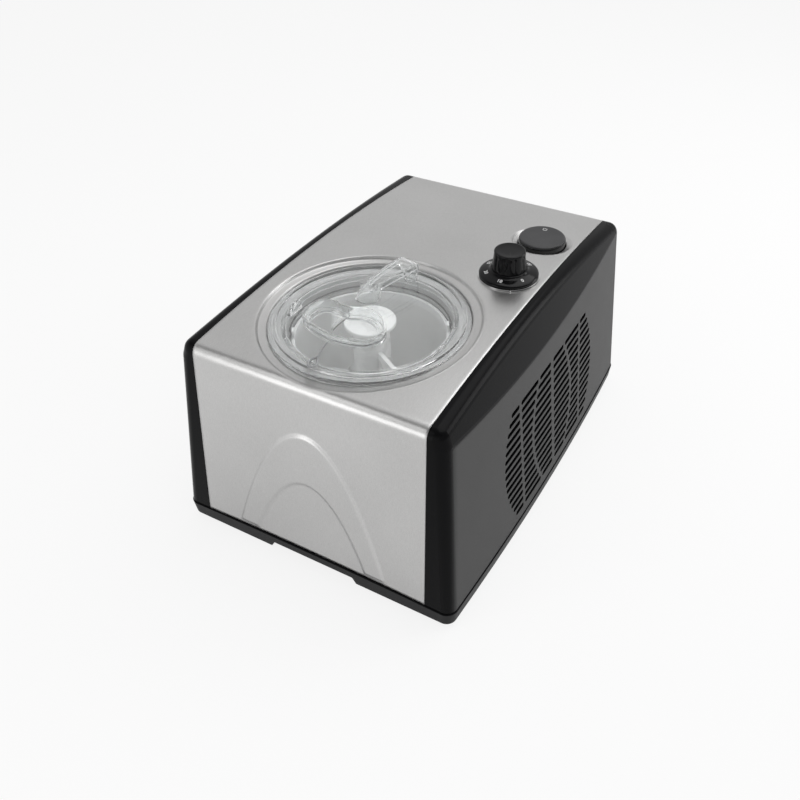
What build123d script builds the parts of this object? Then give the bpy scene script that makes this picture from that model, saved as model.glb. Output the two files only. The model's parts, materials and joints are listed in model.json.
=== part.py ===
from build123d import *
from math import atan2, cos, degrees, hypot, pi, radians, sin, sqrt, tan
import os

# A self-freezing ice cream maker for the worktop. Millimetres, +Z up, front towards -Y.
# The origin is on the worktop, under the middle of the casing.

os.makedirs("parts", exist_ok=True)

# ---------------------------------------------------------------- casing
casing_depth = 425.0          # front edge to rear face, at the tray
tray_half_width = 151.5       # at the corners, where the walls meet the tray
tray_bow = 6.2                # how far each side wall swells at mid depth, at the tray
shoulder_half_width = 135.0
shoulder_bow = 4.0
shoulder_z = 208.0            # height at which the shoulder width is measured
front_lean = 20.0             # the front face leans back by this much up to the shoulder
rear_lean = 2.5
edge_round = 11.0             # every outer edge of the casing
panel_wall = 2.5
cover_wall = 1.2
panel_gap = 0.35              # visible joint between two casing parts
foot_height = 6.0
tray_top_z = 20.4             # at the corners
seam_rise = 3.2               # how far the seam rises at the middle of the front
seam_gap = 2.0
top_reach = 242.5             # the arch of the top is drawn to this far past mid depth
top_front_z = 209.5
top_crest_z = 221.1
top_rear_z = 203.5
bevel_top_x = 129.0           # where the bevel begins on the top, each side
bevel_top_z = 220.0
bevel_run = 0.347             # sideways run of the bevel for each mm down
cover_low_x = 124.5           # half-width of the metal cover at the foot of the front
cover_high_x = 118.0
cover_rear_y = 204.0
panel_rear_y = 196.0

# ---------------------------------------------------------------- bowl and well
well_x = 0.0
well_y = -85.0
recess_radius = 102.4
recess_depth = 3.0
collar_radius = 93.0
collar_seat_z = 212.0
collar_seat_radius = 80.0
collar_throat_radius = 77.6
collar_wall = 2.0
bowl_radius = 70.0            # inside
bowl_wall = 1.2
bowl_rim_radius = 73.0
bowl_rim_z = 199.0
bowl_floor_z = 102.0          # top of the floor
bowl_tube_radius = 13.0
bowl_tube_top_z = 186.0
bowl_clearance = 1.0
well_wall = 1.6
well_flange_radius = 79.0
well_flange = 1.5
gasket = 1.0
coil_tube_radius = 3.0
coil_turns = 7
insulation_wall = 9.0
insulation_floor = 8.0
slip = 0.3                    # gap between parts that slide past each other
seat_gap = 0.2                # gap under a part that rests on another

# ---------------------------------------------------------------- side grille
grille_y = 8.5
grille_z = 95.0
grille_radius = 110.0
grille_rows = 15
grille_pitch = 8.7
slot_height = 5.0
outer_rib_offset = 73.0
outer_rib_width = 4.0
middle_rib_width = 6.0
bowed_rib_mid = 48.0          # offset of the bowed rib from the middle, at mid height
bowed_rib_end = 31.0          # and at the top and bottom rows
bowed_rib_width = 4.0

# ---------------------------------------------------------------- tray and feet
tray_floor = 2.5
tray_wall = 3.0
tray_taper = 1.0
tray_proud = 1.5
tray_lip_z = 30.0
tray_lip_lean = 1.2           # room for the lean of the walls over the lip's height
notch_low_half = 52.0         # cut-out under the front edge of the tray
notch_high_half = 46.0
notch_height = 8.0
notch_depth = 22.0
foot_x = 118.0
foot_y = 172.0
foot_radius = 12.0
foot_plug_radius = 5.0
gland_x = -62.0
gland_z = 48.0
gland_radius = 8.0
gland_bore = 4.0
vent_rows = 5
vent_x = 58.0
vent_length = 70.0
vent_low_z = 96.0

# ---------------------------------------------------------------- raised arch on the front
band_foot_z = 29.0
band_outer_half = 82.0
band_outer_z = 163.0
band_inner_half = 61.0
band_inner_z = 108.0
band_flank = 4.4
band_proud = 1.5
cover_flange = 2.0

# ---------------------------------------------------------------- controls
dial_x = 82.3
dial_y = 35.2
button_x = 82.1
button_y = 118.1
button_radius = 24.2
button_clearance = 0.8
button_top_z = 221.2
button_dish_radius = 31.0
button_dish_floor = 27.5
button_dish_z = 213.0
button_dish_flank = 2.5
timer_neck_radius = 9.0
board_x = 20.0
board_y = 190.0
board_z = 110.0
board_post_x = 44.0
board_post_z = 34.0
board_post_radius = 3.0

# ---------------------------------------------------------------- well details
collar_skirt = 6.0
rim_height = 1.8
seal_height = 1.9
seal_hole = 8.0
header_angle = 135.0
header_radius = 3.6
insulation_hole = 14.0
suction_z = 122.0
capillary_z = 160.0
pipe_radius = 3.0
capillary_radius = 1.2
shaft_radius = 5.0
shaft_fit = 0.05

# ---------------------------------------------------------------- bowl details
bowl_corner = 6.0
ear_wall = 2.0
ear_width = 7.0
bail_angle = 32.0             # of the bail's pivots, seen from above
bail_rise = 5.0
bail_radius = 74.4
bail_wire = 1.3
bail_fit = 0.08
bail_pin_reach = 0.8
column_radius = 17.5
column_wall = 3.2
paddle_gap = 1.0
head_radius = 24.0
head_height = 3.0
head_top_z = 214.2
hex_flats = 8.0
hex_fit = 0.1
hex_top_z = 203.0
blade_angle = -32.0
blade_top_z = 188.0
blade_bar = 12.0
blade_foot = 14.0
blade_arm = 12.0
blade_wall = 4.0
wing_reach = 60.0
wing_top_z = 150.0

# ---------------------------------------------------------------- lid
lid_top_z = 218.6
lid_wall = 3.4
lid_step_radius = 80.0
lid_step = 1.0
lid_radius = 91.0
spigot_radius = 78.9
spigot_wall = 2.3
spigot_low_z = 208.0
refill_left_x = -28.0
refill_left_y = -115.0
refill_left_radius = 22.0
refill_right_x = 3.0
refill_right_y = -113.0
refill_right_radius = 23.0
refill_wall = 2.4
refill_ledge = 3.0
refill_height = 8.5
cap_wall = 2.0
cap_plug = 3.0
tab_start_x = -23.0
tab_start_y = -98.0
tab_end_x = -11.5
tab_end_y = -127.5
tab_height = 9.5
tab_wall = 2.4
handle_x = -9.0
handle_y = -72.0
handle_angle = 77.0
handle_length = 66.0
handle_width = 22.0
handle_front_height = 13.0
handle_height = 21.0
handle_slope = 3.0
handle_wall = 2.2
handle_round = 1.8
gap_start = 16.0
gap_end = 52.0
gap_height = 15.0
ear_distance = 69.0
lug_angle = 201.0
lug_length = 22.0
lug_height = 9.0
lug_wall = 5.0
rib_height = 3.0
rib_sweep = 42.0

# ---------------------------------------------------------------- drive details
gear_module = 1.25
pressure_angle = 20.0
backlash = 0.25
tip_height = 0.85
root_depth = 1.3
output_teeth = 60
idler_teeth = 45
pinion_teeth = 12
gear_face = 8.0
output_gear_z = 61.0
idler_gear_z = 71.0
pin_radius = 3.0
pinion_hole = 11.0
bush_radius = 8.0
shaft_low_z = 51.5
gearbox_floor_z = 58.0
gearbox_cover_z = 84.0
gearbox_wall = 2.5
gearbox_half = 50.0
gearbox_front_y = -136.0
gearbox_rear_y = 30.0
gearbox_corner = 8.0
leg_radius = 6.0
screw_radius = 2.0
motor_radius = 28.0
motor_length = 40.0
rotor_radius = 14.0

# ---------------------------------------------------------------- freezing circuit
compressor_x = -70.0
compressor_y = 108.0
compressor_radius = 46.0
compressor_top_z = 112.0
grommet_height = 10.0
grommet_bore = 4.0
discharge_z = 80.0
condenser_x = 117.0
condenser_depth = 20.0
condenser_half = 52.0
condenser_low_z = 26.0
condenser_top_z = 148.0
condenser_fins = 22
condenser_rows = 6
fin_wall = 0.8
fan_y = 66.0
fan_z = 88.0
fan_radius = 42.0
fan_hub = 13.0
fan_depth = 14.0
fan_chord = 24.0
fan_blades = 5
fan_shaft = 3.0
shroud_wall = 2.5
shroud_depth = 24.0
fan_motor_radius = 20.0
fan_motor_length = 24.0
drier_x = 0.0
drier_y = 164.0
drier_radius = 8.0
drier_low_z = 40.0
drier_top_z = 104.0
liquid_z = 15.0

# ---------------------------------------------------------------- control details
timer_radius = 25.0
timer_low_z = 176.0
timer_high_z = 206.0
timer_flange_z = 218.0
timer_shaft_radius = 3.0
dial_ring_radius = 29.6
dial_ring_z = 221.3
skirt_radius = 29.0
skirt_low_z = 222.2
knob_low_z = 229.5
knob_top_z = 248.0
knob_low_radius = 17.0
knob_high_radius = 15.2
knob_flutes = 10
knob_rest_angle = -63.0
flute_radius = 7.0
flute_depth = 0.9
button_round = 2.4
button_crown = 3.0
button_low_z = 206.0
stem_radius = 3.5
stem_low_z = 188.5
housing_floor_z = 196.0
spring_radius = 6.6
spring_wire = 0.5
spring_turns = 6
board_wall = 1.6
case_screw_x = 134.0
case_screw_y = 186.0


# ================================================================ helpers
def lerp(low, high, z):
    """A size that changes evenly from the tray's top to the shoulder."""
    return low + (high - low) * (z - tray_top_z) / (shoulder_z - tray_top_z)


def front_y(z):
    return lerp(-casing_depth / 2, -casing_depth / 2 + front_lean, z)


def rear_y(z):
    return lerp(casing_depth / 2, casing_depth / 2 - rear_lean, z)


def plan_face(z, inset):
    """The casing's outline at a height, drawn in by a wall, with sharp corners."""
    half = lerp(tray_half_width, shoulder_half_width, z) - inset
    bow = lerp(tray_bow, shoulder_bow, z)
    front = front_y(z) + inset
    rear = rear_y(z) - inset
    middle = (front + rear) / 2
    front_edge = Line((-half, front), (half, front))
    right_edge = ThreePointArc((half, front), (half + bow, middle), (half, rear))
    rear_edge = Line((half, rear), (-half, rear))
    left_edge = ThreePointArc((-half, rear), (-half - bow, middle), (-half, front))
    return Pos(0, 0, z) * make_face(front_edge + right_edge + rear_edge + left_edge)


def rounded_plan(z, grow):
    """The tray's outline at its own height, widened, with rounded corners."""
    face = plan_face(tray_top_z, -grow).face()
    face = face.fillet_2d(edge_round + grow, face.vertices())
    return Pos(0, 0, z - tray_top_z) * face


def arch_prism(inset):
    """Everything under the arched top, drawn in by a wall."""
    front = top_front_z - inset
    rear = top_rear_z - inset
    arch = ThreePointArc((-top_reach, front), (0, top_crest_z - inset), (top_reach, rear))
    sides = Polyline((top_reach, rear), (top_reach, -60), (-top_reach, -60), (-top_reach, front))
    return extrude(Plane.YZ * make_face(arch + sides), 200, both=True)


def bevel_prism(inset):
    """Everything between the two bevels that run along the top."""
    half = bevel_top_x - inset * sqrt(1 + bevel_run ** 2)
    high_z = bevel_top_z + 20
    profile = Plane.XZ * make_face(Polyline(
        (-half - bevel_run * bevel_top_z, 0),
        (half + bevel_run * bevel_top_z, 0),
        (half - bevel_run * 20, high_z),
        (-half + bevel_run * 20, high_z),
        close=True,
    ))
    return extrude(profile, casing_depth, both=True)


def envelope(inset):
    """The casing as one solid block with rounded edges, drawn in by a wall."""
    walls = loft([plan_face(0, inset), plan_face(top_crest_z + 20, inset)], ruled=True)
    block = walls & arch_prism(inset) & bevel_prism(inset)
    return fillet(block.edges().filter_by(lambda edge: (edge @ 0.5).Z > 1), edge_round - inset)


def seam_prism(rise):
    """Everything above the bowed seam between the tray and the casing."""
    wide = tray_half_width + 60
    low = tray_top_z + rise
    bowed = ThreePointArc((-wide, low - seam_rise), (0, low + seam_rise), (wide, low - seam_rise))
    roof = Polyline((wide, low - seam_rise), (wide, 300), (-wide, 300), (-wide, low - seam_rise))
    return extrude(Plane.XZ * make_face(bowed + roof), casing_depth, both=True)


def cover_prism(margin):
    """The stretch across the front and top that the metal cover takes."""
    low = cover_low_x + margin
    high = cover_high_x + margin
    profile = Plane.XZ * make_face(Polyline(
        (-low, 0), (low, 0), (high, shoulder_z), (high, 300), (-high, 300), (-high, shoulder_z), close=True,
    ))
    behind = Pos(0, cover_rear_y + margin + 100, 150) * Box(400, 200, 400)
    return extrude(profile, casing_depth, both=True) - behind


def only_side(solid, side):
    """The half of a solid on the right (1) or on the left (-1)."""
    return solid & (Pos(side * 150, 0, 150) * Box(300, 2 * casing_depth, 400))


def cylinder_between(radius, low_z, high_z, x=0.0, y=0.0):
    return Pos(x, y, (low_z + high_z) / 2) * Cylinder(radius, high_z - low_z)


def ring_between(outer, inner, low_z, high_z, x=0.0, y=0.0):
    return cylinder_between(outer, low_z, high_z, x, y) - cylinder_between(inner, low_z - 1, high_z + 1, x, y)


def turned(points, x=0.0, y=0.0):
    """A solid turned about a vertical axis from its half section, as (radius, z) points."""
    section = Plane.XZ * make_face(Polyline(*points, close=True))
    return Pos(x, y, 0) * revolve(section, Axis.Z)


def one(shape):
    """The single solid of a shape."""
    return shape.solids().sort_by(lambda body: body.volume)[-1]


def save(name, *solids):
    """Write one named sub-part, as one solid or a group of them."""
    bodies = [body for shape in solids for body in shape.solids()]
    node = bodies[0] if len(bodies) == 1 else Compound(children=bodies)
    export_step(node, os.path.join("parts", name + ".step"))


# ================================================================ casing parts
def pressed_dish(inset):
    """The shallow dish pressed into the cover round the lid."""
    walls = cylinder_between(recess_radius + inset, 150, 260, well_x, well_y)
    return walls - Pos(0, 0, -recess_depth) * arch_prism(inset)


def button_dish(inset):
    """The small dish pressed into the cover round the power button."""
    floor_z = button_dish_z - inset
    return turned([
        (0, 260),
        (button_dish_radius + inset, 260),
        (button_dish_radius + inset, button_dish_z + button_dish_flank),
        (button_dish_floor + inset, floor_z),
        (0, floor_z),
    ], button_x, button_y)


def arched_band(spread):
    """Outline of the raised arch on the front, in the plane of the front face."""
    foot = band_foot_z - tray_top_z - spread
    outer_half = band_outer_half + spread
    inner_half = band_inner_half - spread
    outer_rise = band_outer_z - band_foot_z + 2 * spread
    inner_rise = band_inner_z - band_foot_z
    outer = Bezier((-outer_half, foot), (0, foot + 2 * outer_rise), (outer_half, foot))
    right_foot = Line((outer_half, foot), (inner_half, foot))
    inner = Bezier((inner_half, foot), (0, foot + 2 * inner_rise), (-inner_half, foot))
    left_foot = Line((-inner_half, foot), (-outer_half, foot))
    return make_face(outer + right_foot + inner + left_foot)


def front_arch():
    """The raised arch, with sloping flanks."""
    lean = front_lean / (shoulder_z - tray_top_z)
    front = Plane(origin=(0, front_y(tray_top_z), tray_top_z), x_dir=(1, 0, 0), z_dir=(0, -1, lean))
    root = front.offset(-cover_wall / 2) * arched_band(band_flank / 2)
    crest = front.offset(band_proud) * arched_band(-band_flank / 2)
    return loft([root, crest], ruled=True)


def metal_cover(outer):
    pressed = outer - pressed_dish(0) - button_dish(0)
    inside = envelope(cover_wall) - pressed_dish(cover_wall) - button_dish(cover_wall)
    hole = collar_radius + slip
    flange = ring_between(hole + cover_wall, hole, collar_seat_z - cover_flange, 260, well_x, well_y)
    flange &= pressed
    cover = ((pressed - inside) & seam_prism(seam_gap) & cover_prism(0)) + flange + front_arch()
    cover -= cylinder_between(hole, 100, 260, well_x, well_y)
    cover -= cylinder_between(timer_neck_radius + slip, 200, 260, dial_x, dial_y)
    cover -= cylinder_between(button_radius + button_clearance, 200, 260, button_x, button_y)
    return one(cover)


def grille_limits(dz):
    """Where the ribs stand along one row of the grille: pairs of slot ends."""
    rim = sqrt(grille_radius ** 2 - dz ** 2)
    reach = (grille_rows - 1) / 2 * grille_pitch
    bowed = bowed_rib_mid - (bowed_rib_mid - bowed_rib_end) * (dz / reach) ** 2
    ribs = [
        (-outer_rib_offset, outer_rib_width),
        (-bowed, bowed_rib_width),
        (0, middle_rib_width),
        (bowed, bowed_rib_width),
        (outer_rib_offset, outer_rib_width),
    ]
    starts = [-rim] + [place + width / 2 for place, width in ribs]
    ends = [place - width / 2 for place, width in ribs] + [rim]
    return [(max(start, -rim), end) for start, end in zip(starts, ends)]


def grille_slots():
    """Rounded slots through the right side panel, clipped to a circle."""
    sketch = Sketch()
    for row in range(grille_rows):
        dz = (row - (grille_rows - 1) / 2) * grille_pitch
        for start, end in grille_limits(dz):
            length = min(end, grille_rim(dz)) - start
            if length > 1.5 * slot_height:
                middle = grille_y + start + length / 2
                sketch += Pos(middle, grille_z + dz) * SlotOverall(length, slot_height)
    return extrude(Plane.YZ * sketch, 200)


def grille_rim(dz):
    return sqrt(grille_radius ** 2 - dz ** 2)


def rear_block(margin):
    return Pos(0, panel_rear_y + margin + 100, 150) * Box(400, 200, 400)


def side_shell(shell, side):
    """One moulded side: grilled wall, bevel and gloss corners, with no seam between them."""
    right = only_side(shell - cover_prism(panel_gap) - rear_block(panel_gap), 1)
    right = one(right - grille_slots())
    return right if side > 0 else right.mirror(Plane.YZ)


def rear_panel(shell):
    panel = (shell & rear_block(panel_gap)) - cover_prism(panel_gap)
    wall_y = rear_y(board_z) - panel_wall
    for x in (board_x - board_post_x, board_x + board_post_x):
        for z in (board_z - board_post_z, board_z + board_post_z):
            post = Cylinder(board_post_radius, wall_y + 1 - board_y)
            panel += Pos(x, (wall_y + 1 + board_y) / 2, z) * Rot(90, 0, 0) * post
    vents = Sketch()
    for row in range(vent_rows):
        for x in (-vent_x, vent_x):
            vents += Pos(x, vent_low_z + row * grille_pitch) * SlotOverall(vent_length, slot_height)
    panel -= Pos(0, casing_depth / 2 + 20, 0) * extrude(Plane.XZ * vents, 60)
    panel -= Pos(gland_x, casing_depth / 2, gland_z) * Rot(90, 0, 0) * Cylinder(gland_radius + 0.1, 40)
    return one(panel)


def tray_block(grow, low_z, high_z):
    """The tray's outline as a block; grow widens it past the casing's foot."""
    return extrude(rounded_plan(low_z, grow), high_z - low_z)


def base_tray():
    low = rounded_plan(foot_height, -tray_taper)
    high = rounded_plan(tray_top_z + 8, tray_proud)
    outline = loft([low, high], ruled=True)
    tray = outline - seam_prism(0)
    floor_z = foot_height + tray_floor
    notch_z = foot_height + notch_height
    hollow = tray_block(-tray_wall, floor_z, 60)
    guard_length = 2 * notch_low_half + 4 * tray_wall
    roof = Pos(0, -casing_depth / 2, notch_z)
    back = Pos(0, -casing_depth / 2 + notch_depth + tray_wall / 2, notch_z / 2)
    guard = roof * Box(guard_length, 2 * (notch_depth + tray_wall), 2 * tray_wall)
    guard += back * Box(guard_length, tray_wall, notch_z + 2 * tray_wall)
    lip_inset = panel_wall + slip + tray_lip_lean
    lip = tray_block(-lip_inset, floor_z, tray_lip_z) - tray_block(-lip_inset - tray_wall, 0, 60)
    tray = (tray - hollow) + lip + (guard & tray)
    notch = Plane.XZ * make_face(Polyline(
        (-notch_low_half, 0),
        (notch_low_half, 0),
        (notch_high_half, notch_z),
        (-notch_high_half, notch_z),
        close=True,
    ))
    tray -= Pos(0, -casing_depth / 2 + notch_depth, 0) * extrude(notch, 60)
    for x, y in foot_places():
        tray -= cylinder_between(foot_plug_radius, 0, foot_height + tray_floor + 1, x, y)
    return one(tray)


def foot_places():
    return [(x, y) for x in (-foot_x, foot_x) for y in (-foot_y, foot_y)]


def rubber_foot(x, y):
    pad = cylinder_between(foot_radius, 0, foot_height, x, y)
    pad = fillet(pad.edges().group_by(Axis.Z)[0], 1.0)
    return pad + cylinder_between(foot_plug_radius - 0.05, foot_height - 1, foot_height + tray_floor, x, y)


def cord_gland():
    face_y = rear_y(gland_z)
    sleeve = Pos(gland_x, face_y - 6, gland_z) * Rot(90, 0, 0) * Cylinder(gland_radius, 14)
    collar = Pos(gland_x, face_y + 0.65, gland_z) * Rot(90, 0, 0) * Cylinder(gland_radius + 2.5, 1.0)
    bore = Pos(gland_x, face_y, gland_z) * Rot(90, 0, 0) * Cylinder(gland_bore, 40)
    return sleeve + collar - bore


# ================================================================ well and insulation
def well_collar():
    flare = collar_seat_radius - collar_throat_radius
    lip_z = bowl_rim_z
    return turned([
        (collar_seat_radius, collar_seat_z),
        (collar_radius, collar_seat_z),
        (collar_radius, collar_seat_z - collar_skirt),
        (collar_radius - collar_wall, collar_seat_z - collar_skirt),
        (collar_radius - collar_wall, collar_seat_z - collar_wall),
        (collar_seat_radius + collar_wall + 0.2, collar_seat_z - collar_wall),
        (collar_throat_radius + collar_wall + flare * 0.1, lip_z),
        (collar_throat_radius + collar_wall, lip_z - collar_wall),
        (bowl_rim_radius + bowl_clearance + 0.6, lip_z - collar_wall),
        (bowl_rim_radius + bowl_clearance + 0.6, lip_z),
        (collar_throat_radius, lip_z),
    ], well_x, well_y)


def well_top_z():
    return bowl_rim_z - collar_wall - gasket


def well_inner():
    return bowl_radius + bowl_wall + bowl_clearance


def well_floor_z():
    return bowl_floor_z - bowl_wall - seal_height - seat_gap


def freezer_well():
    inner = well_inner()
    top = well_top_z()
    floor = well_floor_z()
    return turned([
        (seal_hole, floor),
        (inner, floor),
        (inner, top),
        (well_flange_radius, top),
        (well_flange_radius, top - well_flange),
        (inner + well_wall, top - well_flange),
        (inner + well_wall, floor - well_wall),
        (seal_hole, floor - well_wall),
    ], well_x, well_y)


def well_gasket():
    inner = bowl_rim_radius + bowl_clearance + 0.6
    return ring_between(well_flange_radius, inner, well_top_z(), well_top_z() + gasket, well_x, well_y)


def coil_radius():
    return well_inner() + well_wall + slip + coil_tube_radius


def evaporator_coil():
    """Ring tubes round the well, joined by one header, with a stub for each pipe."""
    low = well_floor_z() + 10
    pitch = (well_top_z() - well_flange - 12 - low) / (coil_turns - 1)
    high = low + (coil_turns - 1) * pitch
    coil = Pos(well_x, well_y, 0) * cylinder_at(header_distance(), header_angle, header_radius, low, high)
    for turn in range(coil_turns):
        coil += Pos(well_x, well_y, low + turn * pitch) * Torus(coil_radius(), coil_tube_radius)
    return one(coil)


def header_distance():
    return coil_radius() - coil_tube_radius + header_radius + 0.2


def cylinder_at(distance, angle, radius, low_z, high_z):
    return Rot(0, 0, angle) * cylinder_between(radius, low_z, high_z, distance, 0)


def insulation_inner():
    return header_distance() + header_radius + slip


def well_insulation():
    inner = insulation_inner()
    floor = well_floor_z() - well_wall - slip
    low = floor - insulation_floor
    foam = turned([
        (insulation_hole, floor),
        (inner, floor),
        (inner, well_top_z() - well_flange - slip),
        (inner + insulation_wall, well_top_z() - well_flange - slip),
        (inner + insulation_wall, low),
        (insulation_hole, low),
    ], well_x, well_y)
    for z, radius in ((suction_z, pipe_radius), (capillary_z, capillary_radius)):
        hole = Pos(100, 0, z) * Rot(0, 90, 0) * Cylinder(radius + slip, 60)
        foam -= Pos(well_x, well_y, 0) * Rot(0, 0, header_angle) * hole
    return one(foam)


def shaft_seal():
    floor = well_floor_z()
    return turned([
        (shaft_radius + shaft_fit, floor - well_wall),
        (seal_hole, floor - well_wall),
        (seal_hole, floor),
        (seal_hole + 4, floor),
        (seal_hole + 4, floor + seal_height),
        (shaft_radius + shaft_fit, floor + seal_height),
    ], well_x, well_y)


# ================================================================ bowl, bail and paddle
def bowl():
    outer = bowl_radius + bowl_wall
    under = bowl_floor_z - bowl_wall
    section = make_face(Polyline(
        (bowl_tube_radius - bowl_wall, under),
        (outer, under),
        (outer, bowl_rim_z - rim_height),
        (bowl_rim_radius, bowl_rim_z - rim_height),
        (bowl_rim_radius, bowl_rim_z),
        (bowl_radius, bowl_rim_z),
        (bowl_radius, bowl_floor_z),
        (bowl_tube_radius, bowl_floor_z),
        (bowl_tube_radius, bowl_tube_top_z),
        (bowl_tube_radius - bowl_wall, bowl_tube_top_z),
        close=True,
    )).face()
    near = lambda r, z: section.vertices().sort_by_distance((r, z, 0))[0]
    section = section.fillet_2d(bowl_corner, [near(bowl_radius, bowl_floor_z)])
    section = section.fillet_2d(bowl_corner + bowl_wall, [near(outer, under)])
    pot = revolve(Plane.XZ * section, Axis.Z)
    for turn in (0, 180):
        ear_low = bowl_rim_z - rim_height
        ear = Pos(bowl_radius + ear_wall / 2, 0, (ear_low + ear_top_z()) / 2)
        ear = ear * Box(ear_wall, ear_width, ear_top_z() - ear_low)
        ear -= Pos(bowl_radius, 0, bail_z()) * Rot(0, 90, 0) * Cylinder(bail_wire + bail_fit, 20)
        pot += Rot(0, 0, bail_angle + turn) * ear
    return one(Pos(well_x, well_y, 0) * pot)


def bail_z():
    return bowl_rim_z + bail_rise


def ear_top_z():
    return bail_z() + bail_wire + 1.4


def bail():
    """A half hoop of wire, lying back over the rim, with its two ends turned in through the ears."""
    hoop = Torus(bail_radius, bail_wire) & (Pos(0, 200, 0) * Box(400, 400, 40))
    for side in (-1, 1):
        pin = Pos(side * (bail_radius + bowl_radius - bail_pin_reach) / 2, 0, 0) * Rot(0, 90, 0)
        hoop += pin * Cylinder(bail_wire, bail_radius - bowl_radius + bail_pin_reach)
        hoop += Pos(side * bail_radius, 0, 0) * Sphere(bail_wire)
    return one(Pos(well_x, well_y, bail_z()) * Rot(0, 0, bail_angle) * hoop)


def paddle():
    column = ring_between(column_radius, column_radius - column_wall, bowl_floor_z + paddle_gap, hub_top_z())
    column += cylinder_between(column_radius - 1, bowl_tube_top_z + 2, hub_top_z())
    column += cylinder_between(head_radius, head_top_z - head_height, head_top_z)
    column += cylinder_between(column_radius, hub_top_z() - 1, head_top_z - head_height + 0.5)
    column = fillet(column.edges().filter_by(GeomType.CIRCLE).group_by(Axis.Z)[-1], 1.2)
    socket_low_z = bowl_tube_top_z + 1.5
    column -= Pos(0, 0, socket_low_z) * extrude(hexagon(hex_flats + hex_fit), hub_top_z() - socket_low_z)
    wheel = Rot(0, 0, blade_angle) * (blade() + Rot(0, 0, 180) * wing())
    return one(Pos(well_x, well_y, 0) * (column + wheel))


def hub_top_z():
    return hex_top_z + 3


def hexagon(flats):
    return RegularPolygon(flats / sqrt(3), 6)


def blade():
    """The scraper on one side: a foot, an upright at the wall and an upper arm."""
    low = bowl_floor_z + paddle_gap
    reach = bowl_radius - paddle_gap - 1
    start = column_radius - column_wall / 2
    outline = make_face(Polyline(
        (start, low), (reach - bowl_corner, low), (reach, low + bowl_corner), (reach, blade_top_z),
        (start, blade_top_z), close=True,
    ))
    window = Pos((start + reach - blade_bar) / 2 + 3, (low + blade_foot + blade_top_z - blade_arm) / 2)
    opening = Rectangle(reach - blade_bar - start - 6, blade_top_z - blade_arm - low - blade_foot)
    opening = fillet(opening.vertices(), 8)
    return extrude(Plane.XZ * (outline - window * opening), blade_wall / 2, both=True)


def wing():
    """The shorter stirring arm on the other side."""
    low = bowl_floor_z + paddle_gap
    start = column_radius - column_wall / 2
    outline = make_face(Polyline(
        (start, low), (wing_reach, low), (wing_reach, low + blade_foot), (start + 12, wing_top_z),
        (start, wing_top_z), close=True,
    ))
    return extrude(Plane.XZ * outline, blade_wall / 2, both=True)


# ================================================================ lid and refill cap
def kidney(radius_change):
    """Outline of the refill opening: two circles side by side, joined by tangents."""
    left = Pos(refill_left_x, refill_left_y) * Circle(refill_left_radius + radius_change)
    right = Pos(refill_right_x, refill_right_y) * Circle(refill_right_radius + radius_change)
    return make_hull(left.edges() + right.edges())


def lid():
    top = lid_top_z
    plate = turned([
        (0, top),
        (lid_step_radius - 0.6, top),
        (lid_step_radius + 0.6, top - lid_step),
        (lid_radius - 1.4, top - lid_step),
        (lid_radius, top - lid_step - 1.4),
        (lid_radius, collar_seat_z + seat_gap),
        (spigot_radius, collar_seat_z + seat_gap),
        (spigot_radius, spigot_low_z),
        (spigot_radius - spigot_wall, spigot_low_z),
        (spigot_radius - spigot_wall, top - lid_wall),
        (0, top - lid_wall),
    ], well_x, well_y)
    refill_rim = kidney(0) - kidney(-refill_wall)
    plate += Pos(0, 0, top - lid_wall / 2) * extrude(refill_rim, refill_height + lid_wall / 2)
    plate -= Pos(0, 0, top - 10) * extrude(kidney(-refill_wall - refill_ledge), 20)
    plate += lid_handle() + lid_ear()
    return one(plate)


def lid_handle():
    """The hollow grip: two hollow posts and a trough between them, open to the fingers."""
    outline = Polyline(
        (0, 0),
        (handle_slope, handle_front_height),
        (handle_slope + 8, handle_height - 2.5),
        (handle_slope + 16, handle_height),
        (handle_length - 4, handle_height),
        (handle_length, handle_height - 4),
        (handle_length, 0),
        close=True,
    )
    side_view = make_face(outline)
    body = extrude(Plane.XZ * side_view, handle_width / 2, both=True)
    upright = [edge for edge in body.edges() if abs((edge @ 0).Y) > handle_width / 2 - 0.1
               and abs((edge @ 1).Y) > handle_width / 2 - 0.1]
    top_edges = [edge for edge in upright if (edge @ 0.5).Z > 1]
    body = fillet(top_edges, handle_round)
    inside = offset(side_view, -handle_wall)
    hollow = extrude(Plane.XZ * inside, handle_width / 2 - handle_wall, both=True)
    inner_length = handle_length - 2 * handle_wall - handle_slope
    hollow += Pos(handle_length / 2 + 0.8, 0, 2) * Box(inner_length, handle_width - 2 * handle_wall, 4)
    gap = Pos((gap_start + gap_end) / 2, 0, gap_height / 2 - 1)
    posts = gap * Box(gap_end - gap_start + 2 * handle_wall, handle_width - 1, gap_height + 2)
    fingers = gap * Box(gap_end - gap_start, handle_width + 10, gap_height + 2)
    grip = (body - (hollow - posts)) - fingers
    place = Pos(handle_x, handle_y, lid_top_z - 0.4) * Rot(0, 0, handle_angle)
    return place * grip


def lid_ear():
    """The small slotted lug beside the refill opening, with the rib that runs on from it."""
    ear = Pos(ear_distance, 0, lid_top_z + lug_height / 2 - 0.4) * Box(lug_wall, lug_length, lug_height + 0.8)
    ear = fillet(ear.edges().filter_by(Axis.X).group_by(Axis.Z)[-1], lug_height / 2)
    slot = Pos(ear_distance, 0, lid_top_z + lug_height / 2) * Rot(0, 90, 0)
    ear -= slot * extrude(SlotOverall(lug_height * 0.45, lug_height * 0.3), 10, both=True)
    rib = ring_between(ear_distance + 1, ear_distance - 1, lid_top_z - 0.4, lid_top_z + rib_height)
    sector = Pos(0, 0, lid_top_z - 5) * extrude(rib_sector(), 20)
    return Pos(well_x, well_y, 0) * (Rot(0, 0, lug_angle) * ear + (rib & sector))


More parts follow.
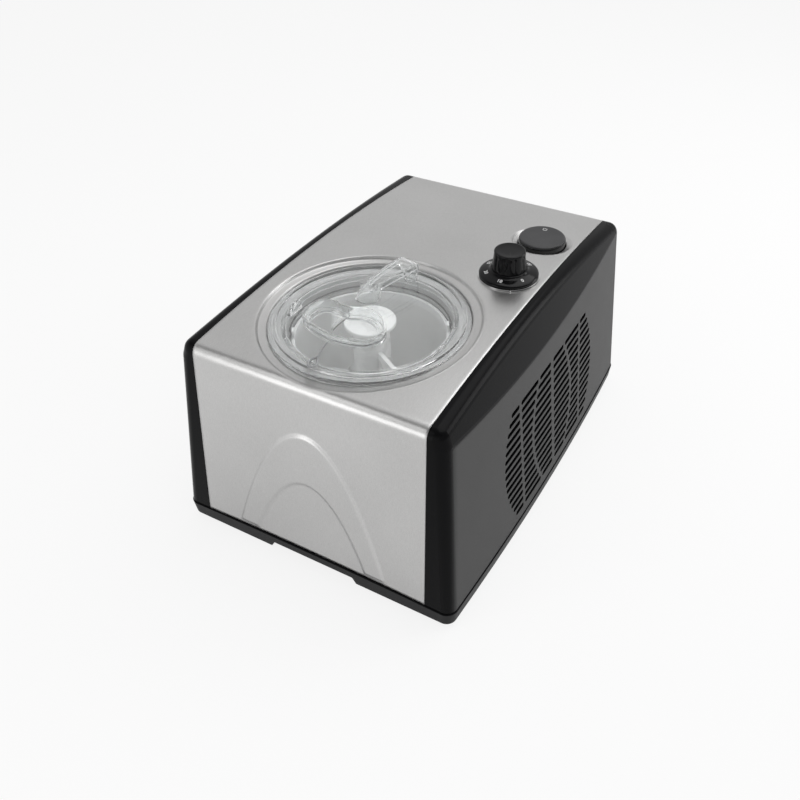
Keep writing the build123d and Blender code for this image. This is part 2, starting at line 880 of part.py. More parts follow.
def rib_sector():
    far = 120.0
    start = radians(lug_angle)
    end = radians(lug_angle + rib_sweep)
    first = (far * cos(start), far * sin(start))
    last = (far * cos(end), far * sin(end))
    return make_face(Polyline((0, 0), first, last, close=True))


def refill_cap():
    """The small cap in the refill opening, with its finger tab."""
    low = lid_top_z + seat_gap
    cap = Pos(0, 0, low) * extrude(kidney(-refill_wall - slip), cap_wall)
    plug = kidney(-refill_wall - refill_ledge - slip)
    plug -= kidney(-refill_wall - refill_ledge - slip - cap_wall)
    cap += Pos(0, 0, low - cap_plug) * extrude(plug, cap_plug + 0.5)
    length = hypot(tab_end_x - tab_start_x, tab_end_y - tab_start_y)
    tab = Plane.XZ * make_face(Polyline(
        (0, 0),
        (length * 0.15, tab_height),
        (length * 0.45, tab_height),
        (length, 1.0),
        (length, 0),
        close=True,
    ))
    fin = extrude(tab, tab_wall / 2, both=True)
    angle = degrees(atan2(tab_end_y - tab_start_y, tab_end_x - tab_start_x))
    cap += Pos(tab_start_x, tab_start_y, low + cap_wall - 0.5) * Rot(0, 0, angle) * fin
    return one(cap)


# ================================================================ drive
def involute(angle):
    return tan(angle) - angle


def tooth_half_angle(radius, teeth):
    """Half the angle that a tooth takes at a radius; straight flanks under the base circle."""
    pitch = gear_module * teeth / 2
    base = pitch * cos(radians(pressure_angle))
    at_pitch = pi / (2 * teeth) - backlash / (2 * pitch)
    here = involute(0 if radius <= base else atan2(sqrt(radius ** 2 - base ** 2), base))
    return at_pitch + involute(radians(pressure_angle)) - here


def spur_gear(teeth, phase, low_z, high_z):
    """A spur gear about the Z axis, with one tooth centred at the phase angle."""
    pitch = gear_module * teeth / 2
    base = pitch * cos(radians(pressure_angle))
    root = pitch - root_depth * gear_module
    tip = pitch + tip_height * gear_module
    flank = [root, max(base, root + 0.1), (pitch + base) / 2, pitch + 0.1, (pitch + tip) / 2 + 0.1, tip]
    points = []
    for tooth in range(teeth):
        middle = radians(phase) + 2 * pi * tooth / teeth
        for radius in flank:
            angle = middle - tooth_half_angle(radius, teeth)
            points.append((radius * cos(angle), radius * sin(angle)))
        for radius in reversed(flank):
            angle = middle + tooth_half_angle(radius, teeth)
            points.append((radius * cos(angle), radius * sin(angle)))
    return Pos(0, 0, low_z) * extrude(make_face(Polyline(*points, close=True)), high_z - low_z)


def idler_y():
    return well_y + gear_module * (output_teeth + pinion_teeth) / 2


def motor_y():
    return idler_y() + gear_module * (idler_teeth + pinion_teeth) / 2


def output_gear():
    gear = spur_gear(output_teeth, 90, output_gear_z, output_gear_z + gear_face)
    for turn in range(5):
        gear -= Rot(0, 0, 72 * turn) * cylinder_between(8, 0, 200, gear_module * output_teeth * 0.3, 0)
    gear += cylinder_between(12, output_gear_z, output_gear_z + gear_face + 2)
    gear -= cylinder_between(shaft_radius, 0, 200)
    return one(Pos(well_x, well_y, 0) * gear)


def drive_shaft():
    shaft = cylinder_between(shaft_radius, shaft_low_z, hex_low_z())
    shaft += Pos(0, 0, hex_low_z() - 1) * extrude(hexagon(hex_flats), hex_top_z - hex_low_z() + 1)
    return one(Pos(well_x, well_y, 0) * shaft)


def hex_low_z():
    return bowl_tube_top_z + 1.2


def bush(low_z, high_z):
    return ring_between(bush_radius, shaft_radius + shaft_fit, low_z, high_z, well_x, well_y)


def idler_gear():
    pinion = spur_gear(pinion_teeth, -90 + 180 / pinion_teeth, output_gear_z - 1, idler_gear_z)
    wheel = spur_gear(idler_teeth, 90, idler_gear_z, idler_gear_z + gear_face)
    gear = pinion + wheel - cylinder_between(pin_radius + shaft_fit, 0, 200)
    return one(Pos(well_x, idler_y(), 0) * gear)


def idler_pin():
    return cylinder_between(pin_radius, gearbox_floor_z, gearbox_cover_z, well_x, idler_y())


def gearbox_outline(inset):
    length = gearbox_rear_y - gearbox_front_y - 2 * inset
    middle_y = (gearbox_rear_y + gearbox_front_y) / 2
    outline = Pos(well_x, middle_y) * Rectangle(2 * gearbox_half - 2 * inset, length)
    return fillet(outline.vertices(), gearbox_corner - inset)


def gearbox_leg_places():
    inset = gearbox_corner
    return [(x, y) for x in (-gearbox_half + inset, gearbox_half - inset)
            for y in (gearbox_front_y + inset, gearbox_rear_y - inset)]


def gearbox_housing():
    low = gearbox_floor_z - gearbox_wall
    box = Pos(0, 0, low) * extrude(gearbox_outline(0), gearbox_cover_z - low)
    box -= Pos(0, 0, gearbox_floor_z) * extrude(gearbox_outline(gearbox_wall), 60)
    box += cylinder_between(bush_radius + 3, low - 5, gearbox_floor_z + 1, well_x, well_y)
    box -= cylinder_between(bush_radius, 0, 200, well_x, well_y)
    box -= cylinder_between(pinion_hole, 0, 200, well_x, motor_y())
    for x, y in gearbox_leg_places():
        box += cylinder_between(leg_radius, foot_height + tray_floor, gearbox_cover_z, x, y)
        box -= cylinder_between(screw_radius, foot_height, foot_height + 24, x, y)
    return one(box)


def gearbox_cover():
    plate = Pos(0, 0, gearbox_cover_z) * extrude(gearbox_outline(0), gearbox_wall)
    plate += cylinder_between(bush_radius + 3, gearbox_cover_z, gearbox_cover_z + 4.3, well_x, well_y)
    return one(plate - cylinder_between(bush_radius, 0, 200, well_x, well_y))


def leg_screws():
    screws = []
    for x, y in gearbox_leg_places():
        head = cylinder_between(screw_radius + 2, foot_height, foot_height + tray_floor, x, y)
        screws.append(head + cylinder_between(screw_radius - 0.05, foot_height + 1, foot_height + 22, x, y))
    return screws


def motor_case():
    low = gearbox_floor_z - gearbox_wall - motor_length
    high = gearbox_floor_z - gearbox_wall
    case = ring_between(motor_radius, motor_radius - 2, low, high)
    case += ring_between(motor_radius, pin_radius + shaft_fit, low, low + 3)
    case += ring_between(motor_radius, pinion_hole - 1, high - 2, high)
    return one(Pos(well_x, motor_y(), 0) * case)


def motor_stator():
    low = gearbox_floor_z - gearbox_wall - motor_length
    core = ring_between(motor_radius - 2, rotor_radius + 0.6, low + 9, low + motor_length - 9)
    for turn in range(6):
        slot = Pos(rotor_radius + 4, 0, low + motor_length / 2) * Box(9, 3, motor_length)
        core -= Rot(0, 0, 60 * turn + 30) * slot
    return one(Pos(well_x, motor_y(), 0) * core)


def motor_rotor():
    low = gearbox_floor_z - gearbox_wall - motor_length
    rotor = cylinder_between(rotor_radius, low + 9, low + motor_length - 9)
    rotor += cylinder_between(pin_radius, low - 2, idler_gear_z + gear_face + 1)
    return one(Pos(well_x, motor_y(), 0) * rotor)


def motor_pinion():
    pinion = spur_gear(pinion_teeth, -90 + 180 / pinion_teeth, idler_gear_z - 0.5, idler_gear_z + gear_face)
    return one(Pos(well_x, motor_y(), 0) * (pinion - cylinder_between(pin_radius, 0, 200)))


def motor_bracket():
    """The cradle that stands the motor on the tray."""
    low = gearbox_floor_z - gearbox_wall - motor_length
    cradle = ring_between(motor_radius + 2.5, motor_radius, low, low + 12) + ring_between(
        motor_radius + 2.5, motor_radius - 3, low - 2.5, low)
    for turn in range(3):
        leg = cylinder_between(4, foot_height + tray_floor, low, motor_radius - 1, 0)
        cradle += Rot(0, 0, 120 * turn + 30) * leg
    return one(Pos(well_x, motor_y(), 0) * cradle)


# ================================================================ freezing circuit
def compressor():
    low = foot_height + tray_floor + grommet_height
    shell = cylinder_between(compressor_radius, low + 2, compressor_top_z, compressor_x, compressor_y)
    shell = fillet(shell.edges().group_by(Axis.Z)[-1], 20)
    plate_place = Pos(compressor_x, compressor_y, low + 1.5)
    plate = plate_place * Box(2 * compressor_radius, 1.7 * compressor_radius, 3)
    plate = fillet(plate.edges().filter_by(Axis.Z), 10)
    shell += plate
    neck = cylinder_between(pipe_radius + 1.5, compressor_top_z - 4, compressor_top_z + 4)
    shell += Pos(compressor_x, compressor_y, 0) * neck
    stub = Pos(compressor_x + compressor_radius, compressor_y, discharge_z) * Rot(0, 90, 0)
    shell += stub * Cylinder(pipe_radius + 1.5, 8)
    for x, y in grommet_places():
        shell -= cylinder_between(grommet_bore, 0, low + 10, x, y)
    return one(shell)


def grommet_places():
    reach_x = compressor_radius - 9
    reach_y = compressor_radius * 0.85 - 9
    return [(compressor_x + sx * reach_x, compressor_y + sy * reach_y) for sx in (-1, 1) for sy in (-1, 1)]


def grommet(x, y):
    low = foot_height + tray_floor
    return cylinder_between(8, low, low + grommet_height, x, y) + cylinder_between(
        grommet_bore - 0.1, low, low + grommet_height + 3, x, y)


def condenser():
    """Serpentine tubes through a stack of upright fins."""
    tall = condenser_top_z - condenser_low_z
    middle_z = (condenser_top_z + condenser_low_z) / 2
    core = Part()
    for index in range(condenser_fins):
        y = fan_y - condenser_half + 2 * condenser_half * index / (condenser_fins - 1)
        core += Pos(condenser_x, y, middle_z) * Box(condenser_depth, fin_wall, tall)
    for row in range(condenser_rows):
        z = condenser_low_z + tall * (row + 0.5) / condenser_rows
        core += Pos(condenser_x, fan_y, z) * Rot(90, 0, 0) * Cylinder(pipe_radius, 2 * condenser_half)
    return one(core)


def fan_shroud():
    """Upright plate with a ring round the fan, standing on the tray."""
    front_x = condenser_x - condenser_depth / 2
    high = condenser_top_z
    low = foot_height + tray_floor
    plate_place = Pos(front_x - shroud_wall / 2, fan_y, (high + low) / 2)
    plate = plate_place * Box(shroud_wall, 2 * condenser_half, high - low)
    axis = Pos(front_x - shroud_depth / 2, fan_y, fan_z) * Rot(0, 90, 0)
    plate += axis * Cylinder(fan_radius + 4, shroud_depth)
    return one(plate - axis * Cylinder(fan_radius + 1.5, shroud_depth + 20))


def fan_rotor():
    front_x = condenser_x - condenser_depth / 2
    middle = Pos(front_x - shroud_depth / 2 - 1, fan_y, fan_z) * Rot(0, 90, 0)
    fan = Cylinder(fan_hub, fan_depth)
    for index in range(fan_blades):
        blade_body = Pos((fan_radius + fan_hub) / 2 - 1, 0, 0) * Rot(32, 0, 0)
        blade_body = blade_body * Box(fan_radius - fan_hub + 2, fan_chord, 1.6)
        fan += Rot(0, 0, 360 * index / fan_blades) * blade_body
    fan &= Cylinder(fan_radius, fan_depth)
    fan -= Pos(0, 0, -fan_depth / 2 + 3) * Cylinder(fan_shaft + shaft_fit, fan_depth - 2)
    return one(middle * fan)


def fan_motor():
    """The motor behind the fan, with its fixed spindle and its post down to the tray."""
    front_x = condenser_x - condenser_depth / 2
    rear_x = front_x - shroud_depth / 2 - 1 - fan_depth / 2 - 2
    low = foot_height + tray_floor
    middle_x = rear_x - fan_motor_length / 2
    along = Rot(0, 90, 0)
    body = Pos(middle_x, fan_y, fan_z) * along * Cylinder(fan_motor_radius, fan_motor_length)
    spindle = Pos(rear_x + fan_depth / 2 - 2, fan_y, fan_z) * along * Cylinder(fan_shaft, fan_depth - 3)
    post = Pos(middle_x, fan_y, (fan_z + low) / 2) * Box(10, 16, fan_z - low)
    foot = Pos(middle_x, fan_y, low + 1.5) * Box(24, 30, 3)
    return one(body + spindle + post + foot)


def filter_drier():
    half = [(0, drier_low_z), (pipe_radius + 1, drier_low_z), (drier_radius, drier_low_z + 10),
            (drier_radius, drier_top_z - 10), (pipe_radius + 1, drier_top_z), (0, drier_top_z)]
    return turned(half, drier_x, drier_y)


def pipe(points, bend, radius):
    """A round pipe along straight runs joined by bends of one radius."""
    path = FilletPolyline(*points, radius=bend)
    start = Plane(origin=path @ 0, z_dir=path % 0)
    return one(sweep(start * Circle(radius), path=path))


def header_point(distance, z):
    angle = radians(header_angle)
    return (well_x + distance * cos(angle), well_y + distance * sin(angle), z)


def refrigerant_pipes():
    start = header_distance() + header_radius + 0.1
    clear = insulation_inner() + insulation_wall + 14
    outlet_x = compressor_x + compressor_radius + 4.1
    over_z = condenser_top_z + 9
    discharge = pipe([
        (outlet_x, compressor_y, discharge_z),
        (outlet_x + 22, compressor_y, discharge_z),
        (outlet_x + 22, compressor_y, over_z),
        (condenser_x, compressor_y, over_z),
        (condenser_x, compressor_y, condenser_top_z + 0.1),
    ], 8, pipe_radius)
    suction = pipe([
        header_point(start, suction_z),
        header_point(clear, suction_z),
        (compressor_x, compressor_y - 60, compressor_top_z + 16),
        (compressor_x, compressor_y, compressor_top_z + 16),
        (compressor_x, compressor_y, compressor_top_z + 4.1),
    ], 8, pipe_radius)
    capillary = pipe([
        header_point(start, capillary_z),
        header_point(clear, capillary_z),
        (drier_x, drier_y - 50, capillary_z),
        (drier_x, drier_y, capillary_z - 14),
        (drier_x, drier_y, drier_top_z + 0.1),
    ], 8, capillary_radius)
    liquid = pipe([
        (condenser_x, compressor_y, condenser_low_z - 0.1),
        (condenser_x, compressor_y, liquid_z),
        (condenser_x, compressor_y + 30, liquid_z),
        (drier_x, compressor_y + 44, liquid_z),
        (drier_x, drier_y, liquid_z),
        (drier_x, drier_y, drier_low_z - 0.1),
    ], 5, pipe_radius)
    return [discharge, suction, capillary, liquid]


# ================================================================ controls
def timer_body():
    """The timer movement: a can under the cover, with a neck that stands up through it."""
    can = cylinder_between(timer_radius, timer_low_z, timer_high_z, dial_x, dial_y)
    can += cylinder_between(timer_radius * 0.6, timer_high_z - 1, timer_flange_z, dial_x, dial_y)
    can += cylinder_between(timer_neck_radius, timer_flange_z - 1, skirt_low_z + 3, dial_x, dial_y)
    return one(can - cylinder_between(timer_shaft_radius + shaft_fit, timer_low_z + 4, 300, dial_x, dial_y))


def dial_ring():
    return ring_between(dial_ring_radius, timer_neck_radius, dial_ring_z, skirt_low_z, dial_x, dial_y)


def dial_skirt():
    """The numbered skirt round the knob; it stays still."""
    inner = timer_neck_radius
    return turned([
        (inner, skirt_low_z),
        (skirt_radius - 0.8, skirt_low_z),
        (skirt_radius, skirt_low_z + 1.0),
        (skirt_radius - 0.4, skirt_low_z + 2.2),
        (skirt_radius - 2.4, skirt_low_z + 3.4),
        (knob_low_radius + 2.5, skirt_low_z + 5.2),
        (knob_low_radius + 0.5, knob_low_z - 0.3),
        (inner, knob_low_z - 0.3),
    ], dial_x, dial_y)


def timer_shaft():
    return cylinder_between(timer_shaft_radius, timer_low_z + 4.5, knob_top_z - 4, dial_x, dial_y)


def timer_knob():
    """A tapered knob with shallow flutes round it and a pointer groove."""
    taper = turned([
        (0, knob_low_z),
        (knob_low_radius, knob_low_z),
        (knob_high_radius, knob_top_z),
        (0, knob_top_z),
    ])
    taper = fillet(taper.edges().group_by(Axis.Z)[-1], 1.6)
    for index in range(knob_flutes):
        flute = cylinder_between(flute_radius, 0, 400, knob_low_radius + flute_radius - flute_depth, 0)
        lean = degrees(atan2(knob_low_radius - knob_high_radius, knob_top_z - knob_low_z))
        flute = Pos(0, 0, knob_low_z) * Rot(0, -lean, 0) * Pos(0, 0, -knob_low_z) * flute
        taper -= Rot(0, 0, knob_rest_angle + 360 * (index + 0.5) / knob_flutes) * flute
    groove = Pos(knob_high_radius - 4, 0, knob_top_z) * Box(16, 1.2, 1.6)
    taper -= Rot(0, 0, knob_rest_angle) * groove
    taper -= cylinder_between(timer_shaft_radius, knob_low_z - 1, knob_top_z - 4)
    return one(Pos(dial_x, dial_y, 0) * taper)


def button_housing():
    """The cup under the cover that guides the button and holds its spring and switch."""
    bore = button_radius + button_clearance
    high = button_dish_z - cover_wall
    cup = ring_between(bore + 2, bore, housing_floor_z, high, button_x, button_y)
    cup += cylinder_between(bore + 2, housing_floor_z - 2, housing_floor_z, button_x, button_y)
    cup += cylinder_between(stem_radius + 2.2, housing_floor_z - 1, housing_floor_z + 5, button_x, button_y)
    return one(cup - cylinder_between(stem_radius + slip, 0, 300, button_x, button_y))


def power_button():
    cap = cylinder_between(button_radius, button_low_z, button_top_z)
    cap = fillet(cap.edges().group_by(Axis.Z)[-1], button_round)
    cap -= cylinder_between(button_radius - 2, 0, button_top_z - button_crown)
    cap += cylinder_between(stem_radius, stem_low_z, button_top_z - button_crown + 0.5)
    crown_z = button_top_z - button_crown
    cap += ring_between(spring_radius + 2.6, spring_radius + 1.2, crown_z - 2, crown_z + 1)
    return one(Pos(button_x, button_y, 0) * cap)


def button_spring():
    """A coil round the stem, from the housing's floor up to the crown of the button."""
    low = housing_floor_z + spring_wire
    high = button_top_z - button_crown - spring_wire
    coil = Helix((high - low) / spring_turns, high - low, spring_radius)
    start = Plane(origin=coil @ 0, z_dir=coil % 0)
    spring = sweep(start * Circle(spring_wire), path=coil, is_frenet=True)
    return one(Pos(button_x, button_y, low) * spring)


def power_switch():
    top = housing_floor_z - 2
    body = Pos(button_x, button_y, top - 8) * Box(20, 14, 16)
    body -= cylinder_between(stem_radius + 1, top - 10, top + 5, button_x, button_y)
    for y in (-4, 4):
        body += Pos(button_x, button_y + y, top - 19) * Box(0.8, 4, 8)
    return one(body)


def control_board():
    """The circuit board on its posts, with its tall components on the front."""
    face_y = board_y - board_wall
    board = Pos(board_x, board_y - board_wall / 2, board_z) * Box(
        2 * board_post_x + 10, board_wall, 2 * board_post_z + 10)
    for x, z, wide, tall, deep in ((-30, 12, 22, 26, 16), (-4, 16, 12, 16, 14), (14, 16, 12, 16, 14)):
        board += Pos(board_x + x, face_y - deep / 2 + 0.5, board_z + z) * Box(wide, deep, tall)
    for x, radius, deep in ((34, 7, 18), (-30, 5, 12), (0, 5, 12), (16, 4, 9)):
        can = Rot(90, 0, 0) * Cylinder(radius, deep)
        board += Pos(board_x + x, face_y - deep / 2 + 0.5, board_z - 20) * can
    return one(board)


def case_screws():
    """Screws up through the tray, beside the feet, into the casing's corners."""
    screws = []
    for x in (-case_screw_x, case_screw_x):
        for y in (-case_screw_y, case_screw_y):
            head = cylinder_between(screw_radius + 2, foot_height, foot_height + 1.8, x, y)
            screws.append(head + cylinder_between(screw_radius, foot_height, foot_height + 12, x, y))
    return screws


# ================================================================ assembly
def build_casing():
    outer = envelope(0)
    shell = (outer - envelope(panel_wall)) & seam_prism(seam_gap)
    tray = base_tray()
    for x, y in gearbox_leg_places():
        tray -= cylinder_between(screw_radius + 2, 0, 60, x, y)
    for screw in case_screws():
        tray -= screw
    save("base_tray", tray)
    save("rubber_feet", *[rubber_foot(x, y) for x, y in foot_places()])
    save("metal_cover", metal_cover(outer))
    for side, name in ((1, "right"), (-1, "left")):
        save("side_shell_" + name, side_shell(shell, side))
    save("rear_panel", rear_panel(shell))
    save("cord_gland", cord_gland())
    save("case_screws", *case_screws())
    save("leg_screws", *leg_screws())


def build_well():
    save("well_collar", well_collar())
    save("freezer_well", freezer_well())
    save("well_gasket", well_gasket())
    save("evaporator_coil", evaporator_coil())
    save("well_insulation", well_insulation())
    save("shaft_seal", shaft_seal())


def build_bowl():
    save("bowl", bowl())
    save("bail", bail())
    save("paddle", paddle())
    save("lid", lid())
    save("refill_cap", refill_cap())


def build_drive():
    save("drive_shaft", drive_shaft())
    save("output_gear", output_gear())
    lower_bush = bush(gearbox_floor_z - 7.5, gearbox_floor_z + 1)
    upper_bush = bush(gearbox_cover_z, gearbox_cover_z + 4.3)
    save("shaft_bushes", lower_bush, upper_bush)
    save("idler_gear", idler_gear())
    save("idler_pin", idler_pin())
    save("gearbox_housing", gearbox_housing())
    save("gearbox_cover", gearbox_cover())
    save("motor_case", motor_case())
    save("motor_stator", motor_stator())
    save("motor_rotor", motor_rotor())
    save("motor_pinion", motor_pinion())
    save("motor_cradle", motor_bracket())


def build_freezing_circuit():
    save("compressor", compressor())
    save("compressor_grommets", *[grommet(x, y) for x, y in grommet_places()])
    save("condenser", condenser())
    save("fan_shroud", fan_shroud())
    save("fan_rotor", fan_rotor())
    save("fan_motor", fan_motor())
    save("filter_drier", filter_drier())
    save("refrigerant_pipes", *refrigerant_pipes())


def build_controls():
    save("timer_body", timer_body())
    save("timer_shaft", timer_shaft())
    save("dial_ring", dial_ring())
    save("dial_skirt", dial_skirt())
    save("timer_knob", timer_knob())
    save("button_housing", button_housing())
    save("power_button", power_button())
    save("button_spring", button_spring())
    save("power_switch", power_switch())
    save("control_board", control_board())


build_casing()
build_well()
build_bowl()
build_drive()
build_freezing_circuit()
build_controls()
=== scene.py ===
import json
import logging
import math
from dataclasses import dataclass
from enum import Enum
from typing import Callable, Iterable, Mapping, Sequence, Union

import bmesh
import bpy
from mathutils import Matrix, Vector


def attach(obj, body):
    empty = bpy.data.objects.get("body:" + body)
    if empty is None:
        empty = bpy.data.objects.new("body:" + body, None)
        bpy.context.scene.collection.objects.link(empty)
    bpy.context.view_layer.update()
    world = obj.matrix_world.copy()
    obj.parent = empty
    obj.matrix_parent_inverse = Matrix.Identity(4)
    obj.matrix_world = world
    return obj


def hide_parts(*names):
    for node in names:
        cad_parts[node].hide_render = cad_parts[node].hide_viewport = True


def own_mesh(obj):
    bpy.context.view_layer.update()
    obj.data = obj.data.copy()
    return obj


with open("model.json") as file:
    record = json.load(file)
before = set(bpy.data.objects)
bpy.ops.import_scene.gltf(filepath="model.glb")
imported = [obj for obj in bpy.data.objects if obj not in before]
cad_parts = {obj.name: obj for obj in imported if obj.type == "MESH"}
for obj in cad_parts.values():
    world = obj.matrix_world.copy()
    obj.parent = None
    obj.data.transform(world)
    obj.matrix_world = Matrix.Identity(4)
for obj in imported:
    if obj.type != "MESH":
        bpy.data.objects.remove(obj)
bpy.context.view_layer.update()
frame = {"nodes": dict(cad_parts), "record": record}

log = logging.getLogger("ice_cream_maker")

Colour = tuple[float, float, float]
Point = tuple[float, float, float]
Ring = tuple[float, float]
MM = 0.001
SHARP_ANGLE = 35.0
CORNER_STEPS = 6


# --- shader writing
class Signal:
    """One output of a shader node. Arithmetic on it adds Math nodes."""

    def __init__(self, graph: "Graph", socket: bpy.types.NodeSocket) -> None:
        """Keeps the socket and the graph it belongs to."""
        self.graph = graph
        self.socket = socket

    def _math(self, operation: str, first: "Value", second: "Value") -> "Signal":
        """Adds one Math node on two values."""
        return self.graph.node("ShaderNodeMath", {"operation": operation}, {0: first, 1: second})

    def __add__(self, other: "Value") -> "Signal":
        """self + other."""
        return self._math("ADD", self, other)

    __radd__ = __add__

    def __sub__(self, other: "Value") -> "Signal":
        """self - other."""
        return self._math("SUBTRACT", self, other)

    def __rsub__(self, other: "Value") -> "Signal":
        """other - self."""
        return self._math("SUBTRACT", other, self)

    def __mul__(self, other: "Value") -> "Signal":
        """self * other."""
        return self._math("MULTIPLY", self, other)

    __rmul__ = __mul__

    def __truediv__(self, other: "Value") -> "Signal":
        """self / other."""
        return self._math("DIVIDE", self, other)

    def __rtruediv__(self, other: "Value") -> "Signal":
        """other / self."""
        return self._math("DIVIDE", other, self)

    def __pow__(self, other: "Value") -> "Signal":
        """self ** other."""
        return self._math("POWER", self, other)

    def __rpow__(self, other: "Value") -> "Signal":
        """other ** self."""
        return self._math("POWER", other, self)

    def __abs__(self) -> "Signal":
        """The size of self without its sign."""
        return self._math("ABSOLUTE", self, 0.0)

    def highest(self, other: "Value") -> "Signal":
        """The larger of self and other."""
        return self._math("MAXIMUM", self, other)

    def step(self, start: float, end: float) -> "Signal":
        """A smooth step from 0 at start to 1 at end.

        Args:
            start: The value of self that gives 0.
            end: The value of self that gives 1; it may be below start.

        Returns:
            The step, between 0 and 1.
        """
        settings = {"interpolation_type": "SMOOTHSTEP"}
        if start <= end:
            return self.graph.node("ShaderNodeMapRange", settings, {0: self, 1: start, 2: end})
        return 1 - self.step(end, start)


Value = Union[Signal, float, int, Sequence[float]]


class Graph:
    """A tree of shader nodes."""

    def __init__(self, tree: bpy.types.NodeTree) -> None:
        """Keeps the tree that nodes are added to."""
        self.tree = tree

    def node(self, kind: str, settings: Mapping[str, object], inputs: Mapping[Union[int, str], Value],
             output: Union[int, str] = 0) -> Signal:
        """Adds a node.

        Args:
            kind: The node's type.
            settings: What is set before its sockets, such as an operation.
            inputs: A value or a link for each socket, by number or name.
            output: The output to return, by number or name.

        Returns:
            The chosen output.
        """
        made = self.tree.nodes.new(kind)
        for name, value in settings.items():
            setattr(made, name, value)
        for name, value in inputs.items():
            self.set(made.inputs[name], value)
        return Signal(self, made.outputs[output])

    def set(self, socket: bpy.types.NodeSocket, value: Value) -> None:
        """Links a signal to a socket, or writes a plain value in it.

        Args:
            socket: The input socket.
            value: The signal, number, vector or colour.
        """
        if isinstance(value, Signal):
            self.tree.links.new(value.socket, socket)
        elif isinstance(value, (int, float)):
            socket.default_value = value
        elif socket.type == "RGBA":
            socket.default_value = (*value, 1.0)
        else:
            socket.default_value = value

    def rays(self, *kinds: str) -> Signal:
        """Tells some kinds of ray from the rest.

        Args:
            kinds: The kinds, such as Camera.

        Returns:
            1 for a ray of these kinds, and 0 for any other.
        """
        seen = None
        for kind in kinds:
            ray = self.node("ShaderNodeLightPath", {}, {}, f"Is {kind} Ray")
            seen = ray if seen is None else seen.highest(ray)
        return seen

    def place(self) -> tuple[Signal, Signal, Signal]:
        """The three coordinates of a point on the piece at rest, in metres."""
        whole = self.node("ShaderNodeTexCoord", {}, {}, "Object")
        return tuple(self.node("ShaderNodeSeparateXYZ", {}, {0: whole}, axis) for axis in "XYZ")

    def vector(self, x: Value, y: Value, z: Value) -> Signal:
        """A vector from three values."""
        return self.node("ShaderNodeCombineXYZ", {}, {0: x, 1: y, 2: z})

    def noise(self, where: Signal, scale: float, detail: float = 2.0, roughness: float = 0.5) -> Signal:
        """Fractal noise between 0 and 1 at a place."""
        return self.node("ShaderNodeTexNoise", {},
                         {"Vector": where, "Scale": scale, "Detail": detail, "Roughness": roughness}, "Fac")

    def mix(self, mask: Value, low: Value, high: Value) -> Signal:
        """Blends two colours by a mask."""
        return self.node("ShaderNodeMix", {"data_type": "RGBA"}, {0: mask, 6: low, 7: high}, 2)

    def bump(self, height: Signal, depth: float, strength: float = 1.0,
             normal: Union[Signal, None] = None) -> Signal:
        """A normal that follows a height.

        Args:
            height: The height, from 0 to 1.
            depth: What a height of 1 stands for, in metres.
            strength: How much of it shows.
            normal: Another normal that it lies on top of.

        Returns:
            The normal.
        """
        inputs: dict[Union[int, str], Value] = {"Strength": strength, "Distance": depth, "Height": height}
        if normal is not None:
            inputs["Normal"] = normal
        return self.node("ShaderNodeBump", {}, inputs, "Normal")

    def soft_edges(self, radius: float) -> Signal:
        """A normal that rounds the sharp edges of a piece."""
        return self.node("ShaderNodeBevel", {"samples": 8}, {"Radius": radius}, "Normal")


class MaterialGraph(Graph):
    """The node tree of one material, with its Principled shader."""

    def __init__(self, label: str) -> None:
        """Starts a material with nothing but its shader and output.

        Args:
            label: The material's name.
        """
        self.material = bpy.data.materials.new(label)
        self.material.use_nodes = True
        super().__init__(self.material.node_tree)
        self.shader = self.tree.nodes["Principled BSDF"]
        self.output = self.tree.nodes["Material Output"]

    def surface(self, **values: Value) -> None:
        """Sets the shader's own sockets; an underscore in a name stands for a space."""
        for name, value in values.items():
            self.set(self.shader.inputs[name.replace("_", " ")], value)

    def mix_in(self, share: Value, kind: str, inputs: Mapping[Union[int, str], Value]) -> None:
        """Mixes another shader over what the material shows so far.

        Args:
            share: How much of the other shader shows.
            kind: The other shader's node type.
            inputs: The values of its sockets.
        """
        shown = Signal(self, self.output.inputs["Surface"].links[0].from_socket)
        other = self.node(kind, {}, inputs)
        both = self.node("ShaderNodeMixShader", {}, {0: share, 1: shown, 2: other})
        self.set(self.output.inputs["Surface"], both)


# --- finishes
def shade(colour: Sequence[float], share: float) -> list[float]:
    """A colour made darker or lighter, and held at white."""
    return [min(channel * share, 1.0) for channel in colour]


@dataclass(frozen=True)
class Finish:
    """What every finish shares: its name, colour and roughness."""

    label: str
    colour: Colour
    roughness: float

    def build(self) -> bpy.types.Material:
        """Makes the material.

        Returns:
            The new material.
        """
        graph = MaterialGraph(self.label)
        graph.surface(Base_Color=self.colour, Roughness=self.roughness)
        self.dress(graph)
        return graph.material

    def dress(self, graph: MaterialGraph) -> None:
        """Adds what is particular to the finish."""


@dataclass(frozen=True)
class Moulded(Finish):
    """Moulded plastic or rubber with a fine spark-eroded grain."""

    grain: float = 0.00004
    grain_scale: float = 2600.0
    marks_scale: float = 60.0
    marks_depth: float = 0.12
    edge: float = 0.0004
    specular: float = 0.5

    def dress(self, graph: MaterialGraph) -> None:
        """Grain in the bump, and faint handling marks in the roughness.

        Args:
            graph: The material's node tree.
        """
        x, y, z = graph.place()
        where = graph.vector(x, y, z)
        grain = graph.noise(where, self.grain_scale)
        marks = graph.noise(where, self.marks_scale, 3.0)
        graph.surface(
            Specular_IOR_Level=self.specular,
            Roughness=self.roughness + self.marks_depth * (marks - 0.5),
            Base_Color=graph.mix(marks.step(0.35, 0.75), shade(self.colour, 0.92), shade(self.colour, 1.08)),
            Normal=graph.bump(grain, self.grain, 0.5, graph.soft_edges(self.edge)),
        )


